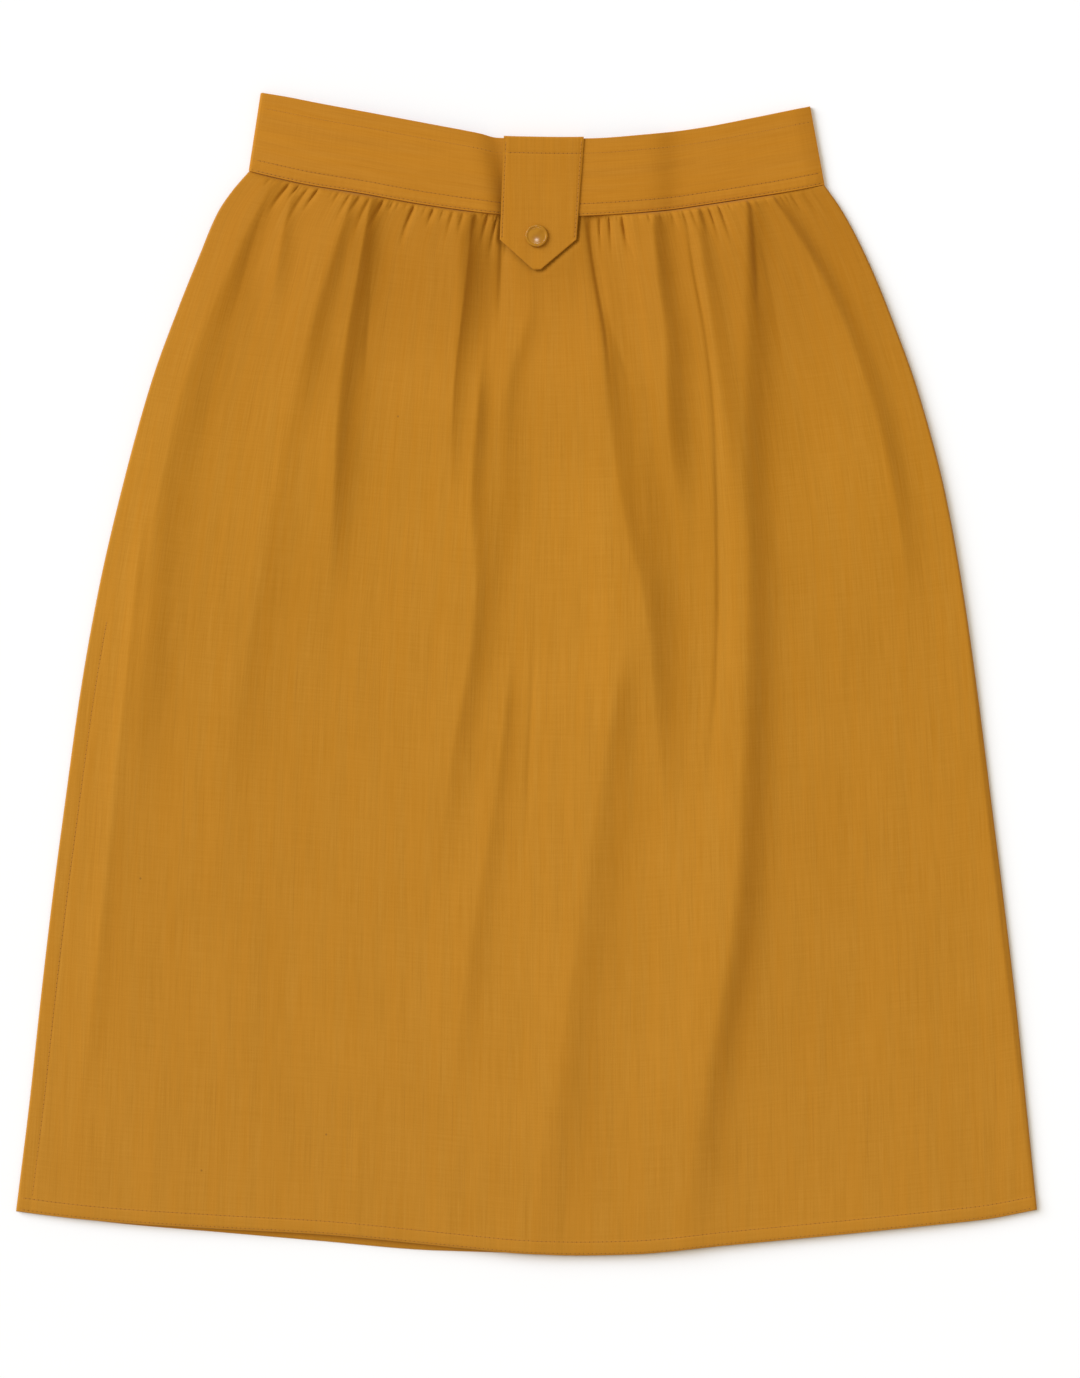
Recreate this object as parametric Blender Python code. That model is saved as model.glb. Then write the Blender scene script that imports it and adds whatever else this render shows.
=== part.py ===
"""A gathered a-line skirt that lies flat, face up, on the surface it rests on.

+X points to the viewer's right, +Y from the hem to the waist and +Z up. The origin is on the surface,
under the middle of the skirt's box. Every size below is in millimetres, and add_object makes metres of
them.

The back panel rests on the surface and the front panel lies on it. The waistband is one strip, folded
round the left side, whose ends meet at the right side. A pointed tab is caught over the band's upper
edge and held down by a button on its point.
"""

import math
from collections import namedtuple

import bmesh
import bpy
import numpy as np

MM = 0.001

# Cloth walls, and the gaps that part one piece from the next.
SEAM_GAP = 0.3
FRONT_WALL = 1.3
BACK_WALL = 1.2
BACK_WALL_AT_SEAM = 2.0
SEAM_PLY_DEPTH = 60.0  # how far below the waist seam the gathered plies thicken the back
BAND_WALL = 2.0
BAND_SLACK = 0.5  # between the band's two legs
TAB_WALL = 1.1
TAB_LIP = 1.0
HEM_DEPTH = 9.0
HEM_PLY = 0.4  # what the turned-up hem adds to the front's wall
HEM_STEP = 2.0  # over how much of the front that ply sets in

# How far the front panel stands off the back, and where that starts.
LIFT_AT_WAIST = 2.3
LIFT_AT_HEM = 2.0
LEFT_ROLL_AT_WAIST = 50.0  # from the left side seam to the full lift
LEFT_ROLL_AT_HEM = 90.0
RIGHT_ROLL = 90.0
FOLD_ROLL = 2.2  # from a side seam to a fold's full height
TUCK_DEPTH = 14.0  # from the waist seam to the full lift
TUCK_SHARE = 1.0  # of the lift, in the seam itself
FOLD_TUCK_DEPTH = 36.0  # the same for the folds
FOLD_TUCK_SHARE = 0.75
SEAM_ROLL = 6.0  # over how much the gathers come up out of the seam, and how far they stand up in it
SEAM_RISE = 0.4
LEAST_RISE = 0.25  # how softly a fold's bottom meets the back

# The length of the front, from the waist seam to the hem at the middle.
PANEL_LENGTH = 643.0

Side = namedtuple("Side", "share left right")
Level = namedtuple("Level", "share band_top seam front_hem back_hem")
Fold = namedtuple("Fold", "name rise left right power top foot across")
Dent = namedtuple("Dent", "x lean half depth")

# x of the two side seams, by the share of the way from the waist seam to the hem.
SIDES = (
    Side(0.00, -172.5, 185.0),
    Side(0.02, -183.5, 194.0),
    Side(0.04, -192.0, 201.5),
    Side(0.08, -203.0, 214.0),
    Side(0.13, -216.0, 227.0),
    Side(0.20, -232.5, 243.0),
    Side(0.30, -250.5, 260.0),
    Side(0.40, -265.5, 271.5),
    Side(0.50, -277.0, 280.5),
    Side(0.60, -286.0, 288.5),
    Side(0.70, -294.5, 296.5),
    Side(0.80, -302.0, 304.0),
    Side(0.90, -309.0, 310.5),
    Side(1.00, -317.0, 317.0),
)

# y of each crosswise edge, by the share of the way from its left end to its right end.
LEVELS = (
    Level(0.00, 361.0, 312.0, -333.5, -332.5),
    Level(0.05, 358.0, 307.5, -337.5, -337.0),
    Level(0.10, 354.5, 303.5, -340.5, -341.0),
    Level(0.20, 348.0, 297.5, -344.5, -346.5),
    Level(0.30, 341.5, 291.0, -348.0, -352.0),
    Level(0.40, 335.0, 286.0, -354.0, -357.5),
    Level(0.43, 332.7, 285.0, -356.0, -358.2),
    Level(0.50, 332.0, 283.0, -360.0, -359.5),
    Level(0.55, 331.8, 283.3, -361.0, -359.8),
    Level(0.60, 332.0, 284.0, -360.4, -359.0),
    Level(0.70, 334.5, 286.5, -354.5, -353.0),
    Level(0.80, 339.0, 291.5, -348.5, -347.0),
    Level(0.90, 345.5, 297.0, -342.0, -341.0),
    Level(0.95, 349.0, 300.0, -338.5, -337.5),
    Level(1.00, 352.5, 303.5, -332.5, -331.5),
)

# x of the band's two upper corners. Its lower corners are those of the panels.
BAND_TOP_LEFT = -165.0
BAND_TOP_RIGHT = 176.0

# Where each small gather leaves the waist seam, as x along the seam.
GATHERS = (
    -158, -146, -140, -134, -128, -115, -108, -102, -96, -88, -82, -69, -57, -51,
    -45, -39, -31, -24, -18, -10, 0, 9, 19, 29, 39, 45, 51, 59, 75, 82, 89, 96,
    101, 107, 112, 118, 124, 136, 153, 163, 171, 177,
)  # fmt: skip
GATHER_DEPTH = 1.5
GATHER_LEFT = 1.6  # how wide its left side is at the seam, and its right side
GATHER_RIGHT = 2.6
GATHER_SPREAD = 22.0  # how far down it is twice as wide
GATHER_POWER = 1.3
SHORTEST_GATHER = 12.0
LONGEST_GATHER = 42.0

# The folds that run on down the front. Most rise slowly on their left and drop quickly on their right. rise
# is the height of a ridge, or less than 0 for a trough, left and right are the widths of its two sides and
# power sets how sharply the right one starts. top and foot are the y of its ends, and across holds its x at
# equal steps between them.
FOLDS = (
    Fold("broad middle", 2.4, 150, 70, 1.7, 290, -440, (40, 44, 80, 125, 118, 104, 92)),
    Fold("left side rise", 3.7, 24, 15, 1.8, 345, -150, (-136, -179, -212, -230, -237, -245, -249)),
    Fold("left dent", -1.3, 5, 30, 1.6, 335, 205, (-138, -161, -174.5, -186)),
    Fold("short left fold", 2.3, 12, 8, 1.6, 335, 215, (-134, -146, -154, -158)),
    Fold("left hollow", 2.8, 36, 10, 1.6, 336, 135, (-96, -108.5, -120.5, -133, -140, -148)),
    Fold("left crest", 1.9, 36, 12, 1.6, 306, -140, (-107, -127, -144, -157, -167, -178, -188, -196)),
    Fold("left crease", 6.2, 40, 9.2, 1.5, 336, 30, (-90, -97, -104.5, -112, -117, -119.5, -121, -121)),
    Fold("crease left of the tab", 3.9, 44, 6, 1.0, 328, 94, (-32, -34, -38.5, -44, -46.5, -47)),
    Fold("fold under the tab", 2.6, 34, 11, 1.8, 264, 26, (1, 0, -12, -17, -18, -22, -26)),
    Fold("middle fold", 4.0, 55, 10, 1.5, 208, -140, (-27, -31, -34.5, -31.5, -36, -45, -52, -57)),
    Fold("low middle hollow", 1.7, 26, 9, 1.8, 26, -290, (-9, -17, -30, -41, -50)),
    Fold("crease right of the tab", 5.8, 60, 13, 1.5, 324, -130, (33.5, 37, 45.5, 51, 60, 73, 79, 84, 88)),
    Fold("shoulder of that crease", 2.2, 30, 26, 2.0, 135, -60, (48, 50, 51, 54)),
    Fold("hollow beside the tab", -2.4, 7, 55, 1.6, 330, 140, (38, 40, 48.5, 56, 60)),
    Fold("right hollow", 8.0, 78, 11.5, 1.6, 330, 75, (79.5, 77.5, 80.5, 85.5, 86.5, 91, 101)),
    Fold("lower hollow", 1.8, 28, 18, 1.8, 156, -90, (66, 74, 77, 78, 80)),
    Fold("right crest", 3.6, 22, 9, 1.7, 330, 80, (102, 105.5, 112, 118.5, 124, 126)),
    Fold("long right crease", 6.4, 56, 13.5, 1.9, 330, -440, (136, 135, 133, 135, 132.5, 127, 111, 97, 90)),
    Fold("far right curve", 4.2, 34, 9, 1.7, 340, 18, (118, 158, 189, 210, 224, 234, 243)),
    Fold("lowest hollow", 4.0, 60, 20, 1.8, 25, -420, (60, 48, 37, 25, 15, 5, -4)),
    Fold("left seam ridge", 1.2, 7, 7, 1.6, 110, -310, (-236, -245.5, -254, -262.5, -272, -283)),
    Fold("right seam ridge", 1.7, 21, 4, 1.8, 292, -440, (200, 246, 269, 283, 297.5, 311.5, 325)),
)
FOLD_STARTS_OVER = 56.0  # the length over which a fold rises
FOLD_OPENS_OVER = 150.0  # the length over which its right side opens out
FOLD_ENDS_OVER = 0.4  # the share of its length over which it fades out
FOLDS_PRESSED = 0.7  # how much of a fold the tab presses out
LIFT_PRESSED = 0.45  # the same for the lift

# The band's front leg bows up, falls back on the right and has a leaning dent beside the tab. The front
# panel's seam rises by a share of that bow.
BAND_BOW = 4.2
BAND_FALLS_AT = 86.0
BAND_FALLS_OVER = 9.5
BAND_FALL = 0.97
BAND_DENT = Dent(-10, 9, 8.5, 5.4)
BOW_SHARE = 0.5
BOW_FADES_OVER = 80.0  # the length below the seam over which that rise ends
BAND_ROWS = 4
BAND_COLUMNS = 60
BAND_BACK_COLUMNS = 14
BAND_FOLD_COLUMNS = 6

# How far below the waist seam each row of the panels' points lies.
GATHER_ROWS = (0, 1.5, 4.5, 9, 16, 26, 38)
OPEN_ROWS = (54, 72, 94, 120, 150, 184, 222, 264, 310, 360, 415, 475, 545)
BACK_ROWS = (0, 4, 9, 16, 26, 38, 54, 78, 145, 240, 355, 490)
BACK_COLUMNS = 24
POINTS_A_GATHER = 4

# The tab: its upper and lower width, and its point.
TAB_TOP_LEFT = -14.0
TAB_TOP_RIGHT = 35.5
TAB_FOOT_LEFT = -16.5
TAB_FOOT_RIGHT = 31.0
TAB_FOOT_Y = 269.0
TAB_TIP = (6.5, 250.5)
TAB_TIP_HALF = 2.4
TAB_ROWS = 9
TAB_POINT_ROWS = 4
TAB_COLUMNS = 8

# The button, a low dome in a raised rim, 14 across. Each ring of its profile is a radius and a height.
BUTTON_AT = (6.3, 271.3)
BUTTON_SIDES = 28
BUTTON_RINGS = (
    (6.4, 0.0), (7.0, 0.5), (7.0, 1.3), (6.5, 1.7), (5.9, 1.7),
    (5.3, 1.35), (4.4, 1.45), (3.0, 1.6), (1.5, 1.68),
)  # fmt: skip
BUTTON_HEIGHT = 1.7


def smooth(at, knots, values):
    """A smooth curve through a short table, which stays between each pair of its values."""
    knots = np.asarray(knots, float)
    values = np.asarray(values, float)
    steps = np.diff(knots)
    slopes = np.diff(values) / steps
    product = slopes[:-1] * slopes[1:]
    tangents = np.zeros_like(values)
    tangents[0] = slopes[0]
    tangents[-1] = slopes[-1]
    np.divide(2 * product, slopes[:-1] + slopes[1:], out=tangents[1:-1], where=product > 0)
    at = np.clip(at, knots[0], knots[-1])
    i = np.clip(np.searchsorted(knots, at, side="right") - 1, 0, len(steps) - 1)
    t = (at - knots[i]) / steps[i]
    start = values[i] * (1 + 2 * t) * (1 - t) ** 2 + tangents[i] * steps[i] * t * (1 - t) ** 2
    return start + values[i + 1] * t * t * (3 - 2 * t) + tangents[i + 1] * steps[i] * t * t * (t - 1)


def eased(t):
    """0 below 0, 1 above 1, and an S between."""
    t = np.clip(t, 0, 1)
    return t * t * (3 - 2 * t)


def column(table, name):
    return [getattr(row, name) for row in table]


def uneven(i):
    """A number from 0 to 1 for the i-th of a row of like things, in no clear order."""
    return (i * 0.618 + 0.23 * math.sin(3.1 * i)) % 1


def side_x(share, name):
    return smooth(share, column(SIDES, "share"), column(SIDES, name))


def level_y(share, name):
    return smooth(share, column(LEVELS, "share"), column(LEVELS, name))


SEAM_LEFT = SIDES[0].left
SEAM_WIDTH = SIDES[0].right - SIDES[0].left


def panel_xy(across, down, hem):
    """The flat place of a panel's point, across it from 0 to 1 and down it from 0 to 1."""
    x = (1 - across) * side_x(down, "left") + across * side_x(down, "right")
    y = (1 - down) * (level_y(across, "seam") - SEAM_GAP) + down * level_y(across, hem)
    return x, y


def drop(away, left, right, power):
    """1 in the middle, down to 0 on both sides, with a width for each."""
    away = np.asarray(away)
    left_side = np.exp(-((np.abs(away) / left) ** 1.3))
    right_side = np.exp(-((np.abs(away) / right) ** power))
    return np.where(away < 0, left_side, right_side)


def rolled(from_edge, reach):
    """0 at an edge and 1 from its reach inwards, steepest at the edge."""
    return 1 - (1 - np.clip(from_edge / reach, 0, 1)) ** 2


def tucked(below, reach, share):
    """This share at the waist seam, and 1 from a reach below it."""
    return share + (1 - share) * eased(below / reach)


def seam_bow(across, x):
    """How far the band's front leg stands up at the seam, most in the middle."""
    bow = BAND_BOW * (1 - np.abs(2 * across - 1) ** 3)
    return bow * (1 - BAND_FALL * (1 + np.tanh((x - BAND_FALLS_AT) / BAND_FALLS_OVER)) / 2)


def under_tab(x, y):
    """1 under the tab, and 0 a little way off."""
    return eased((x + 44) / 24) * eased((100 - x) / 72) * eased((y - 176) / 76)


def gather_relief(across, below):
    """How deep the small gathers are, at a distance below the waist seam."""
    depth = np.zeros(np.broadcast(across, below).shape)
    for i, x in enumerate(GATHERS):
        reach = SHORTEST_GATHER + (LONGEST_GATHER - SHORTEST_GATHER) * uneven(i)
        deep = GATHER_DEPTH * (0.6 + 0.4 * uneven(i + 7)) * eased(1 - below / reach)
        wide = 1 + below / GATHER_SPREAD
        away = (across - (x - SEAM_LEFT) / SEAM_WIDTH) * SEAM_WIDTH
        depth = np.maximum(depth, deep * drop(away, GATHER_LEFT * wide, GATHER_RIGHT * wide, GATHER_POWER))
    return depth


def fold_relief(x, y, pressed):
    """The height that the long ridges add and the long troughs take away."""
    height = np.zeros(np.broadcast(x, y).shape)
    for fold in FOLDS:
        steps = np.linspace(fold.top, fold.foot, len(fold.across))
        away = x - smooth(-y, -steps, fold.across)
        below = fold.top - y
        wide = 0.4 + 0.6 * eased(below / FOLD_OPENS_OVER)
        along = below / (fold.top - fold.foot)
        ends = eased(below / FOLD_STARTS_OVER) * eased((1 - along) / FOLD_ENDS_OVER)
        kept = 1 - FOLDS_PRESSED * pressed * (fold.rise > 0)
        height += fold.rise * kept * ends * drop(away, fold.left, fold.right * wide, fold.power)
    return height


def front_rise(across, down):
    """How far the front's inner side stands off the back."""
    x, y = panel_xy(across, down, "front_hem")
    below = down * PANEL_LENGTH
    lift = LIFT_AT_WAIST + (LIFT_AT_HEM - LIFT_AT_WAIST) * down
    lift = lift + BOW_SHARE * seam_bow(across, x) * (1 - eased(below / BOW_FADES_OVER))
    from_left = x - side_x(down, "left")
    from_right = side_x(down, "right") - x
    left_roll = LEFT_ROLL_AT_WAIST + (LEFT_ROLL_AT_HEM - LEFT_ROLL_AT_WAIST) * down
    lift = lift * rolled(from_left, left_roll) * rolled(from_right, RIGHT_ROLL)
    pressed = under_tab(x, y)
    lift = lift * (1 - LIFT_PRESSED * pressed) * tucked(below, TUCK_DEPTH, TUCK_SHARE)
    folds = fold_relief(x, y, pressed) * tucked(below, FOLD_TUCK_DEPTH, FOLD_TUCK_SHARE)
    rise = lift + folds - gather_relief(across, below)
    softened = (rise + np.sqrt(rise**2 + LEAST_RISE**2)) / 2
    softened = softened * rolled(np.minimum(from_left, from_right), FOLD_ROLL)
    in_seam = np.minimum(softened, SEAM_RISE + seam_bow(across, x))
    return in_seam + (softened - in_seam) * rolled(below, SEAM_ROLL)


def back_top(down):
    """The height of the back panel's upper side."""
    plies = 1 - eased(down * PANEL_LENGTH / SEAM_PLY_DEPTH)
    return BACK_WALL + (BACK_WALL_AT_SEAM - BACK_WALL) * plies


def front_bottom(across, down):
    return back_top(down) + SEAM_GAP + front_rise(across, down)


def front_top(across, down):
    above_hem = (1 - down) * PANEL_LENGTH - HEM_DEPTH
    return front_bottom(across, down) + FRONT_WALL + HEM_PLY * eased(1 - above_hem / HEM_STEP)


def points(x, y, z):
    return np.stack(np.broadcast_arrays(x, y, z), axis=-1).tolist()


def strip_faces(upper, lower):
    """The faces from one row of corners to the next, which has as many cells or half as many."""
    if len(upper) == len(lower):
        return [(upper[i], lower[i], lower[i + 1], upper[i + 1]) for i in range(len(lower) - 1)]
    faces = []
    for i in range(len(lower) - 1):
        left, middle, right = upper[2 * i : 2 * i + 3]
        faces.append((left, lower[i], middle))
        faces.append((middle, lower[i], lower[i + 1]))
        faces.append((middle, lower[i + 1], right))
    return faces


def rim(rows):
    """The corners round a sheet: along its first row, down its right side and back."""
    right = [row[-1] for row in rows[1:-1]]
    left = [row[0] for row in rows[-2:0:-1]]
    return rows[0] + right + rows[-1][::-1] + left


def wall(outer_points, inner_points):
    """A closed wall between two sheets of points that have the same rows."""
    mesh = bmesh.new()
    outer = [[mesh.verts.new(point) for point in row] for row in outer_points]
    inner = [[mesh.verts.new(point) for point in row] for row in inner_points]
    for upper, lower in zip(outer, outer[1:]):
        for face in strip_faces(upper, lower):
            mesh.faces.new(face)
    for upper, lower in zip(inner, inner[1:]):
        for face in strip_faces(upper, lower):
            mesh.faces.new(face[::-1])
    top, bottom = rim(outer), rim(inner)
    for i in range(len(top)):
        after = (i + 1) % len(top)
        mesh.faces.new((top[i], top[after], bottom[after], bottom[i]))
    return mesh


def add_object(name, mesh, color, roughness):
    """An object of this name with its own material, made from a mesh in millimetres."""
    bmesh.ops.scale(mesh, vec=(MM, MM, MM), verts=mesh.verts)
    data = bpy.data.meshes.new(name)
    mesh.to_mesh(data)
    mesh.free()
    data.shade_smooth()
    data.set_sharp_from_angle(angle=math.radians(50))
    material = bpy.data.materials.new(name)
    material.use_nodes = True
    finish = material.node_tree.nodes["Principled BSDF"]
    finish.inputs["Base Color"].default_value = (*color, 1)
    finish.inputs["Roughness"].default_value = roughness
    finish.inputs["Metallic"].default_value = 0
    material.diffuse_color = (*color, 1)
    data.materials.append(material)
    bpy.context.scene.collection.objects.link(bpy.data.objects.new(name, data))


def gather_columns():
    """Shares across the front: each gather's trough, and the points between it and the next."""
    troughs = [0] + [(x - SEAM_LEFT) / SEAM_WIDTH for x in GATHERS] + [1]
    cells = (len(troughs) - 1) * POINTS_A_GATHER
    return np.interp(np.arange(cells + 1) / POINTS_A_GATHER, np.arange(len(troughs)), troughs)


def front_panel():
    fine = gather_columns()
    rows = [(below, fine) for below in GATHER_ROWS]
    hem = PANEL_LENGTH - HEM_DEPTH
    rows += [(below, fine[::2]) for below in (*OPEN_ROWS, hem - HEM_STEP, hem, PANEL_LENGTH)]
    outer, inner = [], []
    for below, across in rows:
        down = below / PANEL_LENGTH
        x, y = panel_xy(across, down, "front_hem")
        outer.append(points(x, y, front_top(across, down)))
        inner.append(points(x, y, front_bottom(across, down)))
    return wall(outer, inner)


def back_panel():
    across = np.linspace(0, 1, BACK_COLUMNS + 1)
    outer, inner = [], []
    for below in (*BACK_ROWS, PANEL_LENGTH):
        down = below / PANEL_LENGTH
        x, y = panel_xy(across, down, "back_hem")
        outer.append(points(x, y, back_top(down)))
        inner.append(points(x, y, 0))
    return wall(outer, inner)


def band_bow(across, down):
    """How far the band's front leg stands up, across it and down it from 0 to 1."""
    x, _ = band_xy(across, down, 0)
    bow = seam_bow(across, x)
    away = x - BAND_DENT.x + BAND_DENT.lean * (1 - down)
    bow = bow - BAND_DENT.depth * (0.5 + 0.5 * down) * np.exp(-((away / BAND_DENT.half) ** 2))
    return np.maximum(bow, 0)


def band_xy(across, down, inset):
    """The flat place of a point of the band. inset keeps the left end clear for the fold."""
    left = BAND_TOP_LEFT + (SIDES[0].left - BAND_TOP_LEFT) * down + inset
    right = BAND_TOP_RIGHT + (SIDES[0].right - BAND_TOP_RIGHT) * down
    x = left + (right - left) * across
    y = (1 - down) * level_y(across, "band_top") + down * level_y(across, "seam")
    return x, y


def waistband():
    """The strip, from the back leg's right end round the left side to the front leg's right end."""
    outer_turn = BAND_WALL + BAND_SLACK / 2
    inner_turn = BAND_SLACK / 2
    front = np.linspace(0, 1, BAND_COLUMNS + 1)
    back = np.linspace(1, 0, BAND_BACK_COLUMNS + 1)
    turns = np.linspace(0, math.pi, BAND_FOLD_COLUMNS + 1)[1:-1]
    outer, inner = [], []
    for down in np.linspace(0, 1, BAND_ROWS):
        x, y = band_xy(back, down, outer_turn)
        outside = points(x, y, 0)
        inside = points(x, y, BAND_WALL)
        x, y = band_xy(0, down, outer_turn)
        for turn in turns:
            aside, drop = math.sin(turn), math.cos(turn)
            outside.append([x - outer_turn * aside, y, outer_turn * (1 - drop)])
            inside.append([x - inner_turn * aside, y, outer_turn - inner_turn * drop])
        x, y = band_xy(front, down, outer_turn)
        bow = band_bow(front, down)
        outside += points(x, y, 2 * outer_turn + bow)
        inside += points(x, y, BAND_WALL + BAND_SLACK + bow)
        outer.append(outside)
        inner.append(inside)
    return wall(outer, inner)


def tab_seat():
    """The height that clears the band and the gathers under the tab."""
    on_band = 2 * BAND_WALL + BAND_SLACK + BAND_BOW
    x = np.linspace(TAB_FOOT_LEFT, TAB_FOOT_RIGHT, 40)
    across = (x - SEAM_LEFT) / SEAM_WIDTH
    rows = np.linspace(0, (level_y(0.5, "seam") - TAB_TIP[1]) / PANEL_LENGTH, 20)
    on_panel = max(front_top(across, down).max() for down in rows)
    return max(on_band, on_panel) + SEAM_GAP


def tab():
    """Rows of points from the lip at the band's upper edge, over it and down to the point."""
    seat = tab_seat()
    top = seat + TAB_WALL
    behind = BAND_WALL + BAND_SLACK
    x = np.linspace(TAB_TOP_LEFT, TAB_TOP_RIGHT, TAB_COLUMNS + 1)
    edge = level_y((x - BAND_TOP_LEFT) / (BAND_TOP_RIGHT - BAND_TOP_LEFT), "band_top")
    lip = edge + SEAM_GAP
    outer = [
        points(x, lip + TAB_LIP, behind),
        points(x, lip + TAB_LIP, top - TAB_LIP),
        points(x, lip + TAB_LIP / 2, top),
    ]
    inner = [points(x, lip, behind), points(x, lip, (behind + seat) / 2), points(x, lip, seat)]
    for share in np.linspace(0, 1, TAB_ROWS + 1)[1:]:
        left = TAB_TOP_LEFT + (TAB_FOOT_LEFT - TAB_TOP_LEFT) * share
        right = TAB_TOP_RIGHT + (TAB_FOOT_RIGHT - TAB_TOP_RIGHT) * share
        x = np.linspace(left, right, TAB_COLUMNS + 1)
        y = lip + (TAB_FOOT_Y - lip) * share
        outer.append(points(x, y, top))
        inner.append(points(x, y, seat))
    for share in np.linspace(0, 1, TAB_POINT_ROWS + 1)[1:]:
        left = TAB_FOOT_LEFT + (TAB_TIP[0] - TAB_TIP_HALF - TAB_FOOT_LEFT) * share
        right = TAB_FOOT_RIGHT + (TAB_TIP[0] + TAB_TIP_HALF - TAB_FOOT_RIGHT) * share
        x = np.linspace(left, right, TAB_COLUMNS + 1)
        y = TAB_FOOT_Y + (TAB_TIP[1] - TAB_FOOT_Y) * share
        outer.append(points(x, y, top))
        inner.append(points(x, y, seat))
    return wall(outer, inner)


def button():
    """The profile turned round the button's axis, from the middle of its back to the top of its dome."""
    base = tab_seat() + TAB_WALL + SEAM_GAP
    mesh = bmesh.new()
    profile = [(0, 0), *BUTTON_RINGS, (0, BUTTON_HEIGHT)]
    x, y = BUTTON_AT
    corners = [mesh.verts.new((x + radius, y, base + height)) for radius, height in profile]
    edges = [mesh.edges.new(pair) for pair in zip(corners, corners[1:])]
    bmesh.ops.spin(
        mesh,
        geom=corners + edges,
        cent=(x, y, base),
        axis=(0, 0, 1),
        dvec=(0, 0, 0),
        angle=2 * math.pi,
        steps=BUTTON_SIDES,
    )
    bmesh.ops.remove_doubles(mesh, verts=mesh.verts, dist=0.01)
    bmesh.ops.recalc_face_normals(mesh, faces=mesh.faces)
    return mesh


def main():
    for obj in list(bpy.data.objects):
        bpy.data.objects.remove(obj, do_unlink=True)
    mustard = (0.46, 0.20, 0.02)
    add_object("back_panel", back_panel(), mustard, 0.85)
    add_object("front_panel", front_panel(), mustard, 0.85)
    add_object("waistband", waistband(), mustard, 0.8)
    add_object("tab", tab(), mustard, 0.8)
    add_object("button", button(), (0.42, 0.17, 0.015), 0.25)


main()
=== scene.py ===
# %% [markdown]
# # A gathered a-line skirt, laid flat
#
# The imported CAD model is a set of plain, faceted solids. This lesson dresses them as cloth: a gathered
# front and back, a stitched waistband, a pointed tab, a button and the sewing. The CAD solids stay as the
# frame. Each new piece sits where its solid sits, and takes over from it.

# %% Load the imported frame
import math
from collections import namedtuple

import bpy
import numpy as np
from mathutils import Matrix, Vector


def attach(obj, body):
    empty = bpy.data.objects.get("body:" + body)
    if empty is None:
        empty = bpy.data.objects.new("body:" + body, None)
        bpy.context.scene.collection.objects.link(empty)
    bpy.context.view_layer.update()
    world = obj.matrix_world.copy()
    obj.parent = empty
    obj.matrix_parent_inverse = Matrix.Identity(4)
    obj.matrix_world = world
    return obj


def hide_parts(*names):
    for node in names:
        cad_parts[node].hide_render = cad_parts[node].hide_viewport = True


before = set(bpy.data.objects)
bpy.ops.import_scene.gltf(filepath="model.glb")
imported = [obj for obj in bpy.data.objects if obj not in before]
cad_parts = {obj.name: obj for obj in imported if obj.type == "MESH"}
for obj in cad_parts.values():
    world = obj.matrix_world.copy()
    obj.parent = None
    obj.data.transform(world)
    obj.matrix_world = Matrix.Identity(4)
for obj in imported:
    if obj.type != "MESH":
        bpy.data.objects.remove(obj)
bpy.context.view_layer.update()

# %% [markdown]
# ## Where the skirt is seen from
#
# A garment laid on a table is best seen from straight above, so the camera looks down from well over the
# skirt. A long lens from high up keeps the outline true, because near and far points are almost equally
# large. The view is 0.854 m high, and the skirt is a little off its middle.

# %% The camera
MM = 0.001
VIEW_HEIGHT = 0.8544
VIEW_CENTRE = (0.00837, -0.00915)
CAMERA_HEIGHT = 2.6
CLOTH_LEVEL = 0.005

camera_data = bpy.data.cameras.new("camera")
camera_data.sensor_fit = "AUTO"
camera_data.sensor_width = 36
camera_data.lens = camera_data.sensor_width * (CAMERA_HEIGHT - CLOTH_LEVEL) / VIEW_HEIGHT
camera = bpy.data.objects.new("camera", camera_data)
camera.location = (*VIEW_CENTRE, CAMERA_HEIGHT)
bpy.context.scene.collection.objects.link(camera)
bpy.context.scene.camera = camera
print("Lens, mm:", round(camera_data.lens, 1))

# %% [markdown]
# ## Soft studio light
#
# Folds in a flat garment are only a millimetre or two high. They show because a lamp from one side lights
# the slopes that face it and leaves the others a little darker. A pale sky all round keeps that contrast
# low. The sky is warmer than the lamp, so a slope in half shade turns deeper in colour, as cloth does that is
# lit by its own folds. A wide lamp from the waist's left gives the slopes, and a small lamp beside the camera
# puts a spark on the button.

# %% Lamps and sky
def lamp(name, kind, energy, place, **settings):
    """A lamp at this place that points at the middle of the skirt."""
    data = bpy.data.lights.new(name, kind)
    data.energy = energy
    for setting, value in settings.items():
        setattr(data, setting, value)
    made = bpy.data.objects.new(name, data)
    made.location = place
    made.rotation_euler = (-Vector(place)).to_track_quat("-Z", "Y").to_euler()
    bpy.context.scene.collection.objects.link(made)
    return made


lamp("key", "SUN", 3.63, (-2.5, 1.4, 1.9), angle=math.radians(45), color=(0.763, 0.84, 1.0))
lamp("spark", "AREA", 4.5, (0.008, 0.31, 2.5), shape="DISK", size=0.12)
sky = bpy.data.worlds.new("sky")
sky.use_nodes = True
sky.node_tree.nodes["Background"].inputs["Color"].default_value = (1.0, 0.9, 0.7, 1)
sky.node_tree.nodes["Background"].inputs["Strength"].default_value = 0.55
bpy.context.scene.world = sky
bpy.context.scene.view_settings.view_transform = "Standard"
print("Lamps:", [obj.name for obj in bpy.data.objects if obj.type == "LIGHT"])

# %% [markdown]
# ## The floor
#
# The floor is a stage and no part of the skirt. It is pale, so that it throws soft light back under the
# edges, and its top is exactly where the skirt rests. A pane with a slightly uneven matt finish is enough.

# %% Lay the floor
def deselect_all():
    bpy.ops.object.select_all(action="DESELECT")


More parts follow.
